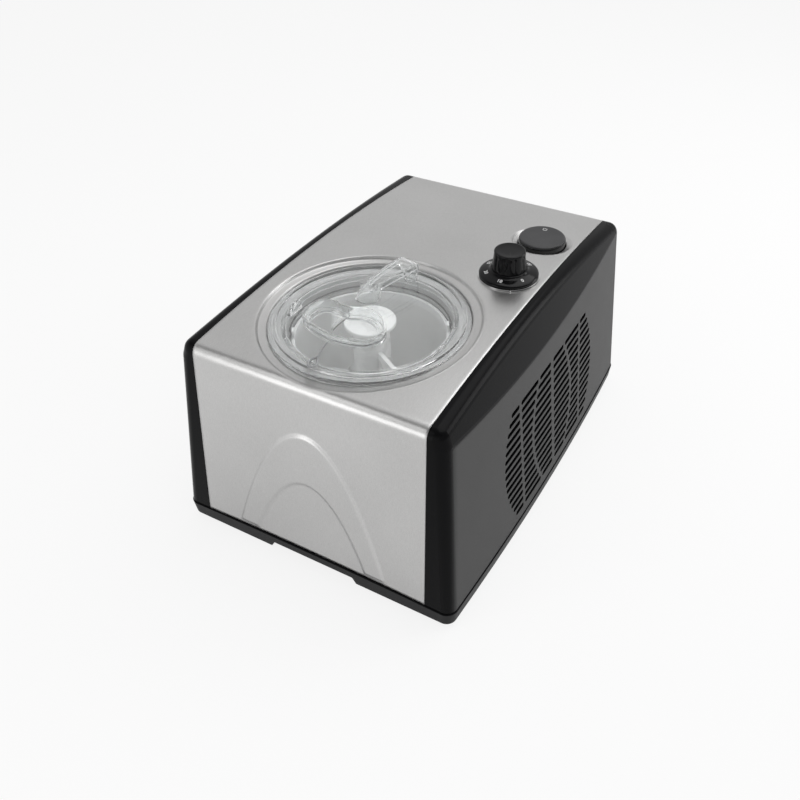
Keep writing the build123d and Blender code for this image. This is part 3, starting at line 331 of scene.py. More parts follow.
@dataclass(frozen=True)
class ButtonCap(Moulded):
    """The power button: satin on its top, gloss on its rim and side."""

    top_z: float = 0.2196
    side_colour: Colour = (0.004, 0.004, 0.0045)
    side_roughness: float = 0.1

    def dress(self, graph: MaterialGraph) -> None:
        """The moulded finish, with gloss below the edge of the top.

        Args:
            graph: The material's node tree.
        """
        super().dress(graph)
        _, _, z = graph.place()
        side = z.step(self.top_z, self.top_z - 0.0006)
        for name, value in (("Base Color", self.side_colour), ("Roughness", self.side_roughness)):
            socket = graph.shader.inputs[name]
            satin = Signal(graph, socket.links[0].from_socket)
            if name == "Base Color":
                graph.set(socket, graph.mix(side, satin, value))
            else:
                graph.set(socket, satin * (1 - side) + side * value)


@dataclass(frozen=True)
class BrushedSheet(Finish):
    """Sheet metal brushed from front to back: fine lines that run down the front and along the top."""

    line_scale: float = 5200.0
    line_stretch: float = 0.035
    line_depth: float = 0.00002
    patch_scale: float = 9.0
    speck_scale: float = 1500.0
    edge: float = 0.0034
    dish_y: float = -0.085
    dish_foot: float = 0.0905
    dish_lip: float = 0.1065
    dish_depth: float = 0.0026

    def dress(self, graph: MaterialGraph) -> None:
        """Lines along the sheet in the colour, the roughness and the bump, and the dish's soft flank.

        Args:
            graph: The material's node tree.
        """
        x, y, z = graph.place()
        along = (y + z) * self.line_stretch
        across = (y - z) * self.line_stretch
        lines = graph.noise(graph.vector(x, along, across), self.line_scale, 3.0, 0.6)
        where = graph.vector(x, y, z)
        patches = graph.noise(where, self.patch_scale)
        specks = graph.noise(where, self.speck_scale, 1.0)
        tone = 0.5 * lines + 0.2 * patches + 0.3 * specks
        reach = (x ** 2.0 + (y - self.dish_y) ** 2.0) ** 0.5
        dish = reach.step(self.dish_foot, self.dish_lip)
        shaped = graph.bump(dish, self.dish_depth, 1.0, graph.soft_edges(self.edge))
        graph.surface(
            Metallic=1.0,
            Base_Color=graph.mix(tone.step(0.3, 0.7), shade(self.colour, 0.88), shade(self.colour, 1.12)),
            Roughness=self.roughness + 0.08 * (lines - 0.5),
            Normal=graph.bump(lines, self.line_depth, 0.2, shaped),
        )


@dataclass(frozen=True)
class SideShell(Finish):
    """The moulded sides: gloss black on the bevels and corners, satin on the grilled wall, where a lighter
    grey colour is a painted reflection of the bright surround.
    """

    wall_colour: Colour = (0.08, 0.08, 0.08)
    wall_roughness: float = 0.42
    crease_mid: float = 0.1845
    crease_end: float = 0.2006
    crease_fade: tuple[float, float] = (0.0015, -0.0025)
    wall_front: float = -0.2131
    front_fade: float = 0.012
    front_lean: float = -0.133
    half_depth: float = 0.2125
    specular: float = 0.07
    grain: float = 0.00003
    grain_scale: float = 2300.0
    marks_scale: float = 45.0
    edge: float = 0.0008

    def dress(self, graph: MaterialGraph) -> None:
        """Satin, with a lighter grey as painted reflection, under the arched crease and behind the front
        corner, and not inside the slots.

        Args:
            graph: The material's node tree.
        """
        x, y, z = graph.place()
        where = graph.vector(x, y, z)
        arch = self.crease_mid + (self.crease_end - self.crease_mid) * (y / self.half_depth) ** 2.0
        under = (z - arch).step(*self.crease_fade)
        behind = (y + z * self.front_lean).step(self.wall_front, self.wall_front + self.front_fade)
        normal = graph.node("ShaderNodeNewGeometry", {}, {}, "True Normal")
        outer = abs(graph.node("ShaderNodeSeparateXYZ", {}, {0: normal}, "X")).step(0.6, 0.85)
        wall = under * behind * outer
        grain = graph.noise(where, self.grain_scale)
        marks = graph.noise(where, self.marks_scale, 3.0)
        graph.surface(
            Specular_IOR_Level=self.specular,
            # Painted reflection: the wall's lighter grey stands in for the bright surround that it mirrors;
            # the same moulding is black on the bevels, and the satin roughness is its real finish.
            Base_Color=graph.mix(wall, self.colour, self.wall_colour),
            Roughness=self.roughness + (self.wall_roughness - self.roughness) * wall + 0.06 * (marks - 0.5),
            Normal=graph.bump(grain, self.grain, 0.45, graph.soft_edges(self.edge)),
        )


@dataclass(frozen=True)
class Spun(Finish):
    """Metal turned about the bowl's axis, with fine rings."""

    axis_y: float = -0.085
    ring_scale: float = 1700.0
    ring_depth: float = 0.00002
    cloud_scale: float = 30.0
    edge: float = 0.0005
    metallic: float = 1.0
    rim_z: Union[float, None] = None
    rim_colour: Colour = (0.9, 0.9, 0.9)

    def dress(self, graph: MaterialGraph) -> None:
        """Fine rings about the axis and along its height, and, where a rim height is given, a white non-metal
        band above it as a painted highlight for the bright rolled rim.

        Args:
            graph: The material's node tree.
        """
        x, y, z = graph.place()
        reach = (x ** 2.0 + (y - self.axis_y) ** 2.0) ** 0.5
        rings = graph.noise(graph.vector(reach, z, 0.0), self.ring_scale, 3.0, 0.6)
        cloud = graph.noise(graph.vector(x, y, z), self.cloud_scale)
        colour = graph.mix(rings.step(0.3, 0.7), shade(self.colour, 0.9), shade(self.colour, 1.06))
        graph.surface(
            Metallic=self.metallic,
            Base_Color=colour,
            Roughness=self.roughness + 0.1 * (rings - 0.5) + 0.06 * (cloud - 0.5),
            Normal=graph.bump(rings, self.ring_depth, 0.3, graph.soft_edges(self.edge)),
        )
        # Painted highlight: above the rim height the metal turns white and non-metal, in place of the bright
        # reflection on the bowl's rolled edge.
        if self.rim_z is not None:
            rim = z.step(self.rim_z, self.rim_z + 0.0004)
            colour = graph.mix(rim, colour, self.rim_colour)
            graph.surface(Metallic=self.metallic * (1 - rim), Base_Color=colour)


@dataclass(frozen=True)
class Drawn(Finish):
    """Drawn or machined metal: tubes, shafts, screws and springs."""

    tarnish_scale: float = 120.0
    tarnish_shade: float = 0.78
    grain: float = 0.00002
    grain_scale: float = 2000.0

    def dress(self, graph: MaterialGraph) -> None:
        """Light tarnish over a bright metal.

        Args:
            graph: The material's node tree.
        """
        x, y, z = graph.place()
        where = graph.vector(x, y, z)
        tarnish = graph.noise(where, self.tarnish_scale, 4.0)
        fine = graph.noise(where, self.grain_scale)
        graph.surface(
            Metallic=1.0,
            Base_Color=graph.mix(tarnish.step(0.3, 0.8), self.colour, shade(self.colour, self.tarnish_shade)),
            Roughness=self.roughness + 0.2 * (tarnish - 0.5),
            Normal=graph.bump(fine, self.grain, 0.3),
        )


@dataclass(frozen=True)
class ClearPlastic(Finish):
    """Clear moulded plastic, polished, with a faint haze."""

    index: float = 1.24
    edge_power: float = 5.0
    edge_white: float = 1.0
    veil: float = 0.008
    coat_index: float = 1.52
    coat_roughness: float = 0.02
    haze_scale: float = 35.0
    haze_depth: float = 0.0001

    def dress(self, graph: MaterialGraph) -> None:
        """Full transmission with slightly uneven polish, a painted white reflection where seen edge on over a
        faint even milkiness, and no dark shadow.

        Args:
            graph: The material's node tree.
        """
        x, y, z = graph.place()
        haze = graph.noise(graph.vector(x, y, z), self.haze_scale)
        graph.surface(
            Transmission_Weight=1.0,
            IOR=self.index,
            Coat_Weight=1.0,
            Coat_IOR=self.coat_index,
            Coat_Roughness=self.coat_roughness,
            Roughness=self.roughness + 0.02 * haze,
            Normal=graph.bump(haze, self.haze_depth, 0.1),
        )
        # Painted reflection: a white diffuse shader is mixed in where the surface is seen edge on, for the
        # bright edges of the clear plastic; the small constant share is a faint even milkiness.
        facing = graph.node("ShaderNodeLayerWeight", {}, {"Blend": 0.5}, "Facing")
        veil = facing ** self.edge_power * self.edge_white + self.veil
        graph.mix_in(veil, "ShaderNodeBsdfDiffuse", {"Color": (0.97, 0.97, 0.97)})
        graph.mix_in(graph.rays("Shadow"), "ShaderNodeBsdfTransparent", {"Color": self.colour})


@dataclass(frozen=True)
class Foam(Finish):
    """Moulded insulation foam with small open cells."""

    cell_scale: float = 420.0
    cell_depth: float = 0.0003
    mottle_scale: float = 80.0

    def dress(self, graph: MaterialGraph) -> None:
        """Cells in the bump and a mottled colour.

        Args:
            graph: The material's node tree.
        """
        x, y, z = graph.place()
        where = graph.vector(x, y, z)
        cells = graph.node("ShaderNodeTexVoronoi", {},
                           {"Vector": where, "Scale": self.cell_scale}, "Distance")
        mottle = graph.noise(where, self.mottle_scale, 3.0)
        graph.surface(
            Base_Color=graph.mix(mottle, shade(self.colour, 0.86), self.colour),
            Normal=graph.bump(cells, self.cell_depth, 0.6),
        )


class Look(Enum):
    """The finish of each material slot of the record."""

    cover_metal = BrushedSheet("brushed_sheet", (0.57, 0.567, 0.562), 0.3)
    shell_plastic = SideShell("side_shell_plastic", (0.004, 0.004, 0.0045), 0.22)
    tray_plastic = Moulded("satin_black_plastic", (0.012, 0.012, 0.013), 0.38, specular=0.1)
    gloss_black = Moulded("gloss_black_plastic", (0.004, 0.004, 0.0045), 0.08, grain=0.00001, specular=0.18)
    button_satin = ButtonCap("button_plastic", (0.05, 0.05, 0.052), 0.34, specular=0.25)
    rubber = Moulded("black_rubber", (0.02, 0.02, 0.02), 0.8, grain=0.0001, grain_scale=1200.0)
    steel = Drawn("bright_steel", (0.42, 0.42, 0.43), 0.3)
    bail_wire = Drawn("dark_wire", (0.05, 0.05, 0.05), 0.35)
    collar_plastic = Moulded("collar_plastic", (0.42, 0.42, 0.42), 0.25, grain=0.00001)
    well_aluminium = Spun("well_aluminium", (0.7, 0.7, 0.71), 0.4)
    bowl_metal = Spun("anodised_bowl", (0.86, 0.86, 0.855), 0.34, metallic=0.5, rim_z=0.1918)
    copper = Drawn("copper_tube", (0.72, 0.36, 0.2), 0.3)
    bronze = Drawn("sintered_bronze", (0.55, 0.36, 0.18), 0.45)
    foam = Foam("insulation_foam", (0.8, 0.74, 0.55), 0.9)
    painted_steel = Moulded("black_enamel", (0.015, 0.015, 0.016), 0.3, grain=0.00006, grain_scale=900.0)
    board_green = Moulded("circuit_board", (0.03, 0.12, 0.05), 0.4)
    bright_ring = Drawn("bright_ring", (0.78, 0.78, 0.78), 0.14)
    clear_plastic = ClearPlastic("clear_plastic", (0.97, 0.98, 0.98), 0.015)
    paddle_white = Moulded("white_plastic", (0.9, 0.9, 0.895), 0.28, grain=0.00002)
    gear_nylon = Moulded("gear_nylon", (0.8, 0.78, 0.7), 0.45)
    print_white = Moulded("white_print", (0.86, 0.86, 0.86), 0.5, grain=0.00001)


class Workshop:
    """Makes each material once and gives it to pieces."""

    def __init__(self) -> None:
        """Starts with no material made."""
        self.made: dict[Look, bpy.types.Material] = {}

    def material(self, look: Look) -> bpy.types.Material:
        """The material of a finish, made at its first use.

        Args:
            look: The finish.

        Returns:
            The material.
        """
        if look not in self.made:
            self.made[look] = look.value.build()
        return self.made[look]

    def dress(self, piece: bpy.types.Object, look: Look) -> None:
        """Gives a piece one finish all over."""
        piece.data.materials.clear()
        piece.data.materials.append(self.material(look))


# --- mesh making
def put(name: str, data: bpy.types.ID) -> bpy.types.Object:
    """Puts a new object in the scene.

    Args:
        name: Its name.
        data: What it shows: a mesh, a text, a lamp or a camera.

    Returns:
        The object.
    """
    made = bpy.data.objects.new(name, data)
    bpy.context.scene.collection.objects.link(made)
    return made


def around(x: float, y: float, z: float, radius: float, turn: float) -> Point:
    """A point at a height, by its distance and angle, in radians, from a vertical axis."""
    return (x + radius * math.cos(turn), y + radius * math.sin(turn), z)


def circle(steps: int) -> list[float]:
    """The angles of a circle's steps, in radians."""
    return [2 * math.pi * step / steps for step in range(steps)]


class Ends(Enum):
    """How the first and last rows of a skin are closed."""

    OPEN = 0
    FACE = 1
    STRIP = 2


class Piece:
    """A mesh under construction, in millimetres, in the frame of the machine."""

    def __init__(self, name: str) -> None:
        """Starts an empty mesh."""
        self.name = name
        self.mesh = bmesh.new()

    def grid(self, rows: Sequence[Sequence[Sequence[float]]], ends: Ends = Ends.OPEN) -> None:
        """Adds a skin of quads over rows of points; each row closes on itself.

        Args:
            rows: The points, in millimetres.
            ends: FACE fills the first and last rows with one face each. STRIP fills them with quads,
                where a row runs out along one side and back along the other.
        """
        points = [[self.mesh.verts.new(Vector(point) * MM) for point in row] for row in rows]
        for near, far in zip(points, points[1:]):
            for c in range(len(near)):
                d = (c + 1) % len(near)
                self.mesh.faces.new((near[c], near[d], far[d], far[c]))
        for row in (points[0], points[-1]):
            if ends is Ends.FACE:
                self.mesh.faces.new(row)
            elif ends is Ends.STRIP:
                for c in range(len(row) // 2 - 1):
                    self.mesh.faces.new((row[c], row[c + 1], row[-2 - c], row[-1 - c]))

    def turned(self, profile: Sequence[Ring], x: float, y: float, steps: int = 128,
               shape: Callable[[float, float, float], float] = lambda radius, z, turn: radius) -> None:
        """Adds a solid turned about a vertical axis.

        Args:
            profile: The half section from the axis at one end to the axis at the other, as (radius, z).
            x: Place of the axis.
            y: Place of the axis.
            steps: How many sides it has.
            shape: Gives the radius at (radius, z, angle), for flutes and the like.
        """
        turns = circle(steps)
        self.grid([[around(x, y, z, shape(radius, z, turn), turn) for turn in turns]
                   for radius, z in profile])

    def tube(self, path: Iterable[Sequence[float]], radius: float, steps: int = 12) -> None:
        """Adds a round wire along a path, closed at both ends.

        Args:
            path: The points of its centre line.
            radius: Its radius.
            steps: How many sides it has.
        """
        line = [Vector(point) for point in path]
        rows = [[line[0]] * steps]
        side = Vector((0.0, 0.0, 1.0))
        for index, point in enumerate(line):
            ahead = (line[min(index + 1, len(line) - 1)] - line[max(index - 1, 0)]).normalized()
            side = side - ahead * side.dot(ahead)
            if side.length < 1e-6:
                side = ahead.orthogonal()
            side.normalize()
            up = ahead.cross(side)
            rows.append([point + side * radius * math.cos(turn) + up * radius * math.sin(turn)
                         for turn in circle(steps)])
        rows.append([line[-1]] * steps)
        self.grid(rows)

    def combine(self, other: "Piece", operation: str) -> None:
        """Joins another closed mesh to this one, or cuts it away.

        Args:
            other: The other mesh, which is used up.
            operation: UNION or DIFFERENCE.
        """
        holders = []
        for piece in (self, other):
            bmesh.ops.remove_doubles(piece.mesh, verts=piece.mesh.verts, dist=1e-7)
            bmesh.ops.recalc_face_normals(piece.mesh, faces=piece.mesh.faces)
            data = bpy.data.meshes.new("in_work")
            piece.mesh.to_mesh(data)
            holders.append(put("in_work", data))
        modifier = holders[0].modifiers.new("combine", "BOOLEAN")
        modifier.operation = operation
        modifier.object = holders[1]
        modifier.solver = "EXACT"
        shown = holders[0].evaluated_get(bpy.context.evaluated_depsgraph_get())
        result = bpy.data.meshes.new_from_object(shown)
        self.mesh.clear()
        self.mesh.from_mesh(result)
        other.mesh.free()
        for holder in holders:
            bpy.data.objects.remove(holder)

    def finish(self, body: str, replaces: Iterable[str] = ()) -> bpy.types.Object:
        """Turns the mesh into a piece of the machine.

        Args:
            body: The body it moves with.
            replaces: CAD nodes that it stands for.

        Returns:
            The new object.
        """
        bmesh.ops.remove_doubles(self.mesh, verts=self.mesh.verts, dist=1e-7)
        bmesh.ops.recalc_face_normals(self.mesh, faces=self.mesh.faces)
        data = bpy.data.meshes.new(self.name)
        self.mesh.to_mesh(data)
        self.mesh.free()
        data.shade_smooth()
        data.set_sharp_from_angle(angle=math.radians(SHARP_ANGLE))
        piece = put(self.name, data)
        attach(piece, body)
        if replaces:
            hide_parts(*replaces)
        log.info("piece %s: %d faces on %s", self.name, len(data.polygons), body)
        return piece


def section(corners: Sequence[tuple[float, float, float]]) -> list[Ring]:
    """A half section with rounded corners.

    Args:
        corners: Its sharp corners, each as (radius, z, how far the rounding reaches along both runs).

    Returns:
        The points of the section.
    """
    points: list[Ring] = []
    for index, (radius, z, rounding) in enumerate(corners):
        if rounding <= 0 or index in (0, len(corners) - 1):
            points.append((radius, z))
            continue
        corner = Vector((radius, z))
        start, end = (corner + (Vector(corners[index + step][:2]) - corner).normalized() * rounding
                      for step in (-1, 1))
        for t in (step / CORNER_STEPS for step in range(CORNER_STEPS + 1)):
            points.append(tuple(start * (1 - t) ** 2 + corner * 2 * t * (1 - t) + end * t ** 2))
    return points


def smooth_line(points: Sequence[Sequence[float]], steps: int, closed: bool = False) -> list[Vector]:
    """A smooth line through points of any number of dimensions.

    Args:
        points: The points it passes through.
        steps: How many pieces each run is divided into.
        closed: Whether the line returns to its start.

    Returns:
        The points of the line.
    """
    count = len(points)

    def pick(index: int) -> Vector:
        """A point by number, wrapped round or held at the ends."""
        return Vector(points[index % count] if closed else points[min(max(index, 0), count - 1)])
    line = []
    runs = count if closed else count - 1
    for run in range(runs):
        a, b, c, d = (pick(run + k) for k in (-1, 0, 1, 2))
        for step in range(steps):
            t = step / steps
            line.append(0.5 * (2 * b + (c - a) * t + (2 * a - 5 * b + 4 * c - d) * t ** 2
                               + (3 * b - a - 3 * c + d) * t ** 3))
    if not closed:
        line.append(pick(count - 1))
    return line


def inset(line: Sequence[Vector], distance: float) -> list[Vector]:
    """Draws a closed line in.

    Args:
        line: Its points in a plane; it runs clockwise seen from above.
        distance: How far it is drawn in.

    Returns:
        The points of the new line.
    """
    drawn = []
    for index, point in enumerate(line):
        ahead = line[(index + 1) % len(line)] - line[index - 1]
        inward = Vector((ahead.y, -ahead.x)).normalized()
        drawn.append(point + inward * distance)
    return drawn


# --- sub-assemblies
@dataclass
class Part:
    """What every sub-assembly shares: where its finishes come from, and how its pieces join the machine."""

    workshop: Workshop

    def place(self, piece: Piece, body: str, slot: str, replaces: Iterable[str] = (),
              look: Union[Look, None] = None) -> bpy.types.Object:
        """Makes a mesh a piece of the machine and dresses it.

        Args:
            piece: The mesh.
            body: The body it moves with.
            slot: The material slot of the record that it takes.
            replaces: CAD nodes that it stands for.
            look: Its finish, where that is not its slot's.

        Returns:
            The new object.
        """
        made = piece.finish(body, replaces)
        self.workshop.dress(made, look or Look[slot])
        return made


@dataclass
class Machine(Part):
    """The CAD nodes, each with the finish of its slot."""

    def build(self) -> None:
        """Gives every CAD node the finish that its slot names."""
        for part in frame["record"]["subparts"]:
            self.workshop.dress(frame["nodes"][part["node"]], Look[part["material_slot"]])


# --- lid
@dataclass(frozen=True)
class RefillOutline:
    """The bean-shaped outline that the collar on the lid and the small cap share. Millimetres."""

    points: tuple[tuple[float, float], ...] = (
        (-53.2, -107.0), (-49.0, -92.5), (-38.0, -86.8), (-26.0, -88.4), (-17.0, -88.4), (-8.0, -85.0),
        (4.0, -84.0), (17.0, -89.5), (27.5, -101.0), (30.0, -113.0), (24.0, -126.0), (10.0, -132.4),
        (-6.0, -134.2), (-24.0, -131.6), (-40.0, -126.6), (-50.0, -118.6),
    )
    steps: int = 8

    def skin(self, piece: Piece, profile: Sequence[Ring], closed: bool = False) -> None:
        """Adds a skin that follows the outline.

        Args:
            piece: The mesh to add it to.
            profile: Rows as (distance inside the outline, z).
            closed: Whether the last row joins the first; if not, a face fills each.
        """
        line = smooth_line(self.points, self.steps, closed=True)
        rows = [[(*point, z) for point in inset(line, distance)] for distance, z in profile]
        if closed:
            rows.append(rows[0])
        piece.grid(rows, Ends.OPEN if closed else Ends.FACE)


@dataclass
class Grip:
    """The lid's handle: a hollow round post that flows into a trough, and a smaller post behind."""

    angle: float = 78.5
    wall: float = 1.9
    corner: float = 1.3
    steps: int = 4
    columns: int = 66
    # x, y, z, lean of the outer face from upright, half width, depth, share of the trough's shape
    stations: tuple[tuple[float, ...], ...] = (
        (-21.4, -70.1, 218.3, 90.0, 12.0, 24.0, 0.0), (-20.0, -69.2, 222.5, 80.0, 11.2, 22.0, 0.08),
        (-16.4, -66.9, 229.5, 70.0, 9.6, 18.0, 0.4), (-12.6, -64.3, 236.0, 62.0, 8.0, 12.0, 0.85),
        (-10.9, -62.9, 238.7, 50.0, 7.3, 8.5, 1.0), (-9.9, -61.2, 239.7, 14.0, 7.2, 7.5, 1.0),
        (-9.0, -58.0, 240.1, 3.0, 7.4, 7.0, 1.0), (-5.8, -42.0, 240.8, 0.0, 8.8, 7.0, 1.0),
        (-2.6, -26.0, 240.8, -2.0, 10.0, 7.0, 1.0), (-1.0, -16.5, 240.2, -8.0, 10.4, 7.0, 1.0),
        (0.2, -11.4, 238.6, -45.0, 10.4, 8.0, 1.0), (0.9, -8.6, 234.6, -80.0, 10.0, 9.5, 0.9),
        (1.4, -6.6, 228.0, -86.0, 9.0, 11.5, 0.4), (1.8, -5.0, 222.0, -88.0, 7.6, 13.2, 0.1),
        (2.0, -3.9, 218.3, -90.0, 7.2, 14.2, 0.0),
    )

    def across(self, share: float, width: float, depth: float, trough: float) -> Ring:
        """One point of the section, as (sideways, inwards).

        Args:
            share: Place along the section, from -1 to 1.
            width: Half width of the section.
            depth: How far it reaches inwards.
            trough: 0 for a round tube, 1 for a trough.

        Returns:
            The point.
        """
        angle = share * math.pi * 0.96
        tube = (width * math.sin(angle), depth / 2 * (1 - math.cos(angle)))
        corner = min(self.corner, width * 0.6)
        top, arc, side = width - corner, corner * math.pi / 2, depth - corner
        run = abs(share) * (top + arc + side)
        if run < top:
            flat = (run, 0.0)
        elif run < top + arc:
            turn = (run - top) / corner
            flat = (top + corner * math.sin(turn), corner * (1 - math.cos(turn)))
        else:
            flat = (width, corner + run - top - arc)
        side_sign = math.copysign(1.0, share)
        return (tube[0] * (1 - trough) + flat[0] * side_sign * trough,
                tube[1] * (1 - trough) + flat[1] * trough)

    def mesh(self) -> Piece:
        """Builds the closed mesh.

        Returns:
            The handle, with its feet just inside the lid.
        """
        along = Vector((math.cos(math.radians(self.angle)), math.sin(math.radians(self.angle)), 0.0))
        side = Vector((along.y, -along.x, 0.0))
        half = self.columns // 2
        shares = [-1 + 2 * column / (half - 1) for column in range(half)]
        rows = []
        for x, y, z, lean, width, depth, trough in smooth_line(self.stations, self.steps):
            turn = math.radians(lean)
            inward = -(Vector((0, 0, 1)) * math.cos(turn) - along * math.sin(turn))
            row = []
            for share in shares:
                out, deep = self.across(share, width, depth, trough)
                row.append(Vector((x, y, z)) + side * out + inward * deep)
            for share in reversed(shares):
                out, deep = self.across(share, width - self.wall, depth - self.wall * (2 - trough), trough)
                row.append(Vector((x, y, z)) + side * out + inward * (deep + self.wall))
            rows.append(row)
        grip = Piece("lid_grip")
        grip.grid(rows, Ends.STRIP)
        return grip


@dataclass
class Lid(Part):
    """The clear lid with its refill collar, grip and slotted lug. Sizes in millimetres."""

    x: float = 0.0
    y: float = -85.0
    top: float = 218.6
    under: float = 215.2
    radius: float = 92.5
    step_radius: float = 80.0
    bead_radius: float = 86.5
    seat: float = 212.2
    spigot: float = 78.9
    spigot_wall: float = 2.3
    spigot_low: float = 208.0
    collar_height: float = 8.5
    collar_wall: float = 2.4
    hole_inset: float = 5.4
    bead: float = 1.1
    outline: RefillOutline = RefillOutline()

    def build(self) -> None:
        """Makes the lid and the fine line of beads on it."""
        plate = self.plate()
        hole = Piece("refill_hole")
        self.outline.skin(hole, [(self.hole_inset, self.under - 3.0), (self.hole_inset, self.top + 3.0)])
        plate.combine(hole, "DIFFERENCE")
        plate.combine(self.collar(), "UNION")
        plate.combine(Grip().mesh(), "UNION")
        plate.combine(self.lug(), "UNION")
        self.place(plate, "lid", "clear_plastic", ["lid"])
        self.place(self.beads(), "lid", "steel")

    def plate(self) -> Piece:
        """The round plate with its step, its raised bead and its spigot.

        Returns:
            The mesh.
        """
        bead, top = self.bead_radius, self.top
        inner = self.spigot - self.spigot_wall
        plate = Piece("lid_shell")
        plate.turned(section([
            (0.0, top, 0), (self.step_radius - 0.8, top, 0.7), (self.step_radius + 0.8, top - 1.0, 0.7),
            (bead - 2.2, top - 1.0, 0.6), (bead - 1.5, top + 1.2, 0.7), (bead + 1.3, top + 1.2, 1.0),
            (bead + 2.0, top - 1.4, 0.6), (self.radius - 0.9, top - 1.5, 0.8), (self.radius, top - 2.8, 0.6),
            (self.radius, self.seat, 0.4), (self.spigot, self.seat, 0.4), (self.spigot, self.spigot_low, 0.6),
            (inner, self.spigot_low, 0.6), (inner, self.under, 1.2), (0.0, self.under, 0),
        ]), self.x, self.y, 192)
        return plate

    def collar(self) -> Piece:
        """The upstanding wall round the refill opening, rounded along its top.

        Returns:
            The mesh.
        """
        high, wall = self.top + self.collar_height, self.collar_wall
        corners = section([
            (-0.5, self.top - 0.4, 0), (-0.4, self.top + 1.2, 0.8), (0.0, high, 1.1), (wall, high, 1.1),
            (wall + 0.2, self.top + 0.6, 0.5), (wall + 0.9, self.top - 0.4, 0),
        ])
        collar = Piece("refill_collar")
        self.outline.skin(collar, corners, closed=True)
        return collar

    def lug(self) -> Piece:
        """The slotted lug on the left.

        Returns:
            The mesh.
        """
        lug = Piece("lid_lug")
        rim = smooth_line([(-119.0, 218.2), (-117.6, 222.6), (-112.4, 226.4), (-106.0, 228.3),
                           (-102.6, 226.6), (-101.6, 222.4), (-101.0, 218.2)], 5)
        slot = smooth_line([(-112.4, 221.8), (-112.0, 223.6), (-109.0, 225.4), (-106.6, 225.6),
                            (-106.2, 224.2), (-108.8, 222.4), (-111.4, 221.2)], 5)
        rows = []
        for x, tuck in ((-67.6, 0.6), (-67.0, 0.0), (-64.0, 0.0), (-63.4, 0.6)):
            rows.append([(x, y + (-108.5 - y) * tuck * 0.06, z - (z > 218.5) * tuck * 0.5) for y, z in rim])
        lug.grid(rows, Ends.FACE)
        cutter = Piece("lug_slot")
        cutter.grid([[(x, *point) for point in slot] for x in (-72.0, -58.0)], Ends.FACE)
        lug.combine(cutter, "DIFFERENCE")
        return lug

    def beads(self) -> Piece:
        """The fine beaded line moulded on the plate, from the collar to a loop at the rim.

        Returns:
            The mesh.
        """
        beads = Piece("lid_beads")
        line = smooth_line([(-11.9, -136.0, 0), (-10.4, -147.0, 0), (-7.6, -156.0, 0), (-9.6, -161.5, 0),
                            (-10.4, -166.6, 0), (-7.0, -170.4, 0), (-2.6, -169.2, 0), (-3.4, -163.6, 0),
                            (-6.2, -158.4, 0)], 7)
        for index, point in enumerate(line):
            size = self.bead * (1.0 if index % 2 else 0.72)
            reach = math.hypot(point.x - self.x, point.y - self.y)
            low = self.top + (0.2 if reach < self.step_radius else -0.4)
            turns = [math.pi * k / 8 for k in range(9)]
            ball = [(size * math.sin(turn), low - size * math.cos(turn)) for turn in turns]
            beads.turned(ball, point.x, point.y, 12)
        return beads


@dataclass
class RefillCap(Part):
    """The small clear cap in the refill opening, with its leaf-shaped finger tab. Millimetres."""

    low: float = 218.8
    wall: float = 2.0
    edge_inset: float = 2.75
    plug_inset: float = 5.8
    plug_wall: float = 2.0
    plug_depth: float = 3.0
    tab_wall: float = 1.8
    outline: RefillOutline = RefillOutline()

    def build(self) -> None:
        """Makes the cap with its tab."""
        high = self.low + self.wall
        edge, plug, plug_low = self.edge_inset, self.plug_inset, self.low - self.plug_depth
        inner = plug + self.plug_wall
        cap = Piece("refill_cap_shell")
        self.outline.skin(cap, section([
            (inner + 0.4, self.low, 0), (inner, self.low, 0.1), (inner, plug_low, 0.4), (plug, plug_low, 0.4),
            (plug, self.low, 0.3), (edge, self.low, 0.3), (edge, high, 0.6), (edge + 1.6, high, 0.3),
            (edge + 2.4, high - 0.5, 0.3), (edge + 4.0, high - 0.5, 0),
        ]))
        cap.combine(self.tab(), "UNION")
        self.place(cap, "refill_cap", "clear_plastic", ["refill_cap"])

    def tab(self) -> Piece:
        """The leaf-shaped tab that leans over the left side.

        Returns:
            The mesh.
        """
        foot = smooth_line([(-17.4, -121.6, 220.0), (-17.6, -112.0, 220.0), (-17.2, -102.0, 220.0),
                            (-16.2, -95.6, 220.0)], 6)
        crest = smooth_line([(-17.6, -121.8, 220.8), (-24.6, -110.0, 227.0), (-25.6, -100.0, 229.4),
                             (-16.6, -95.2, 229.6)], 6)
        rows = []
        for level in range(9):
            share = level / 8
            rise = math.sin(share * math.pi / 2)
            row = []
            for low, high in zip(foot, crest):
                row.append(Vector((low.x + (high.x - low.x) * share ** 1.4, low.y + (high.y - low.y) * share,
                                   low.z + (high.z - low.z) * rise)))
            rows.append(row)
        across = Vector((self.tab_wall, 0.0, 0.0))
        tab = Piece("cap_tab")
        tab.grid([row + [point + across for point in reversed(row)] for row in rows], Ends.STRIP)
        return tab


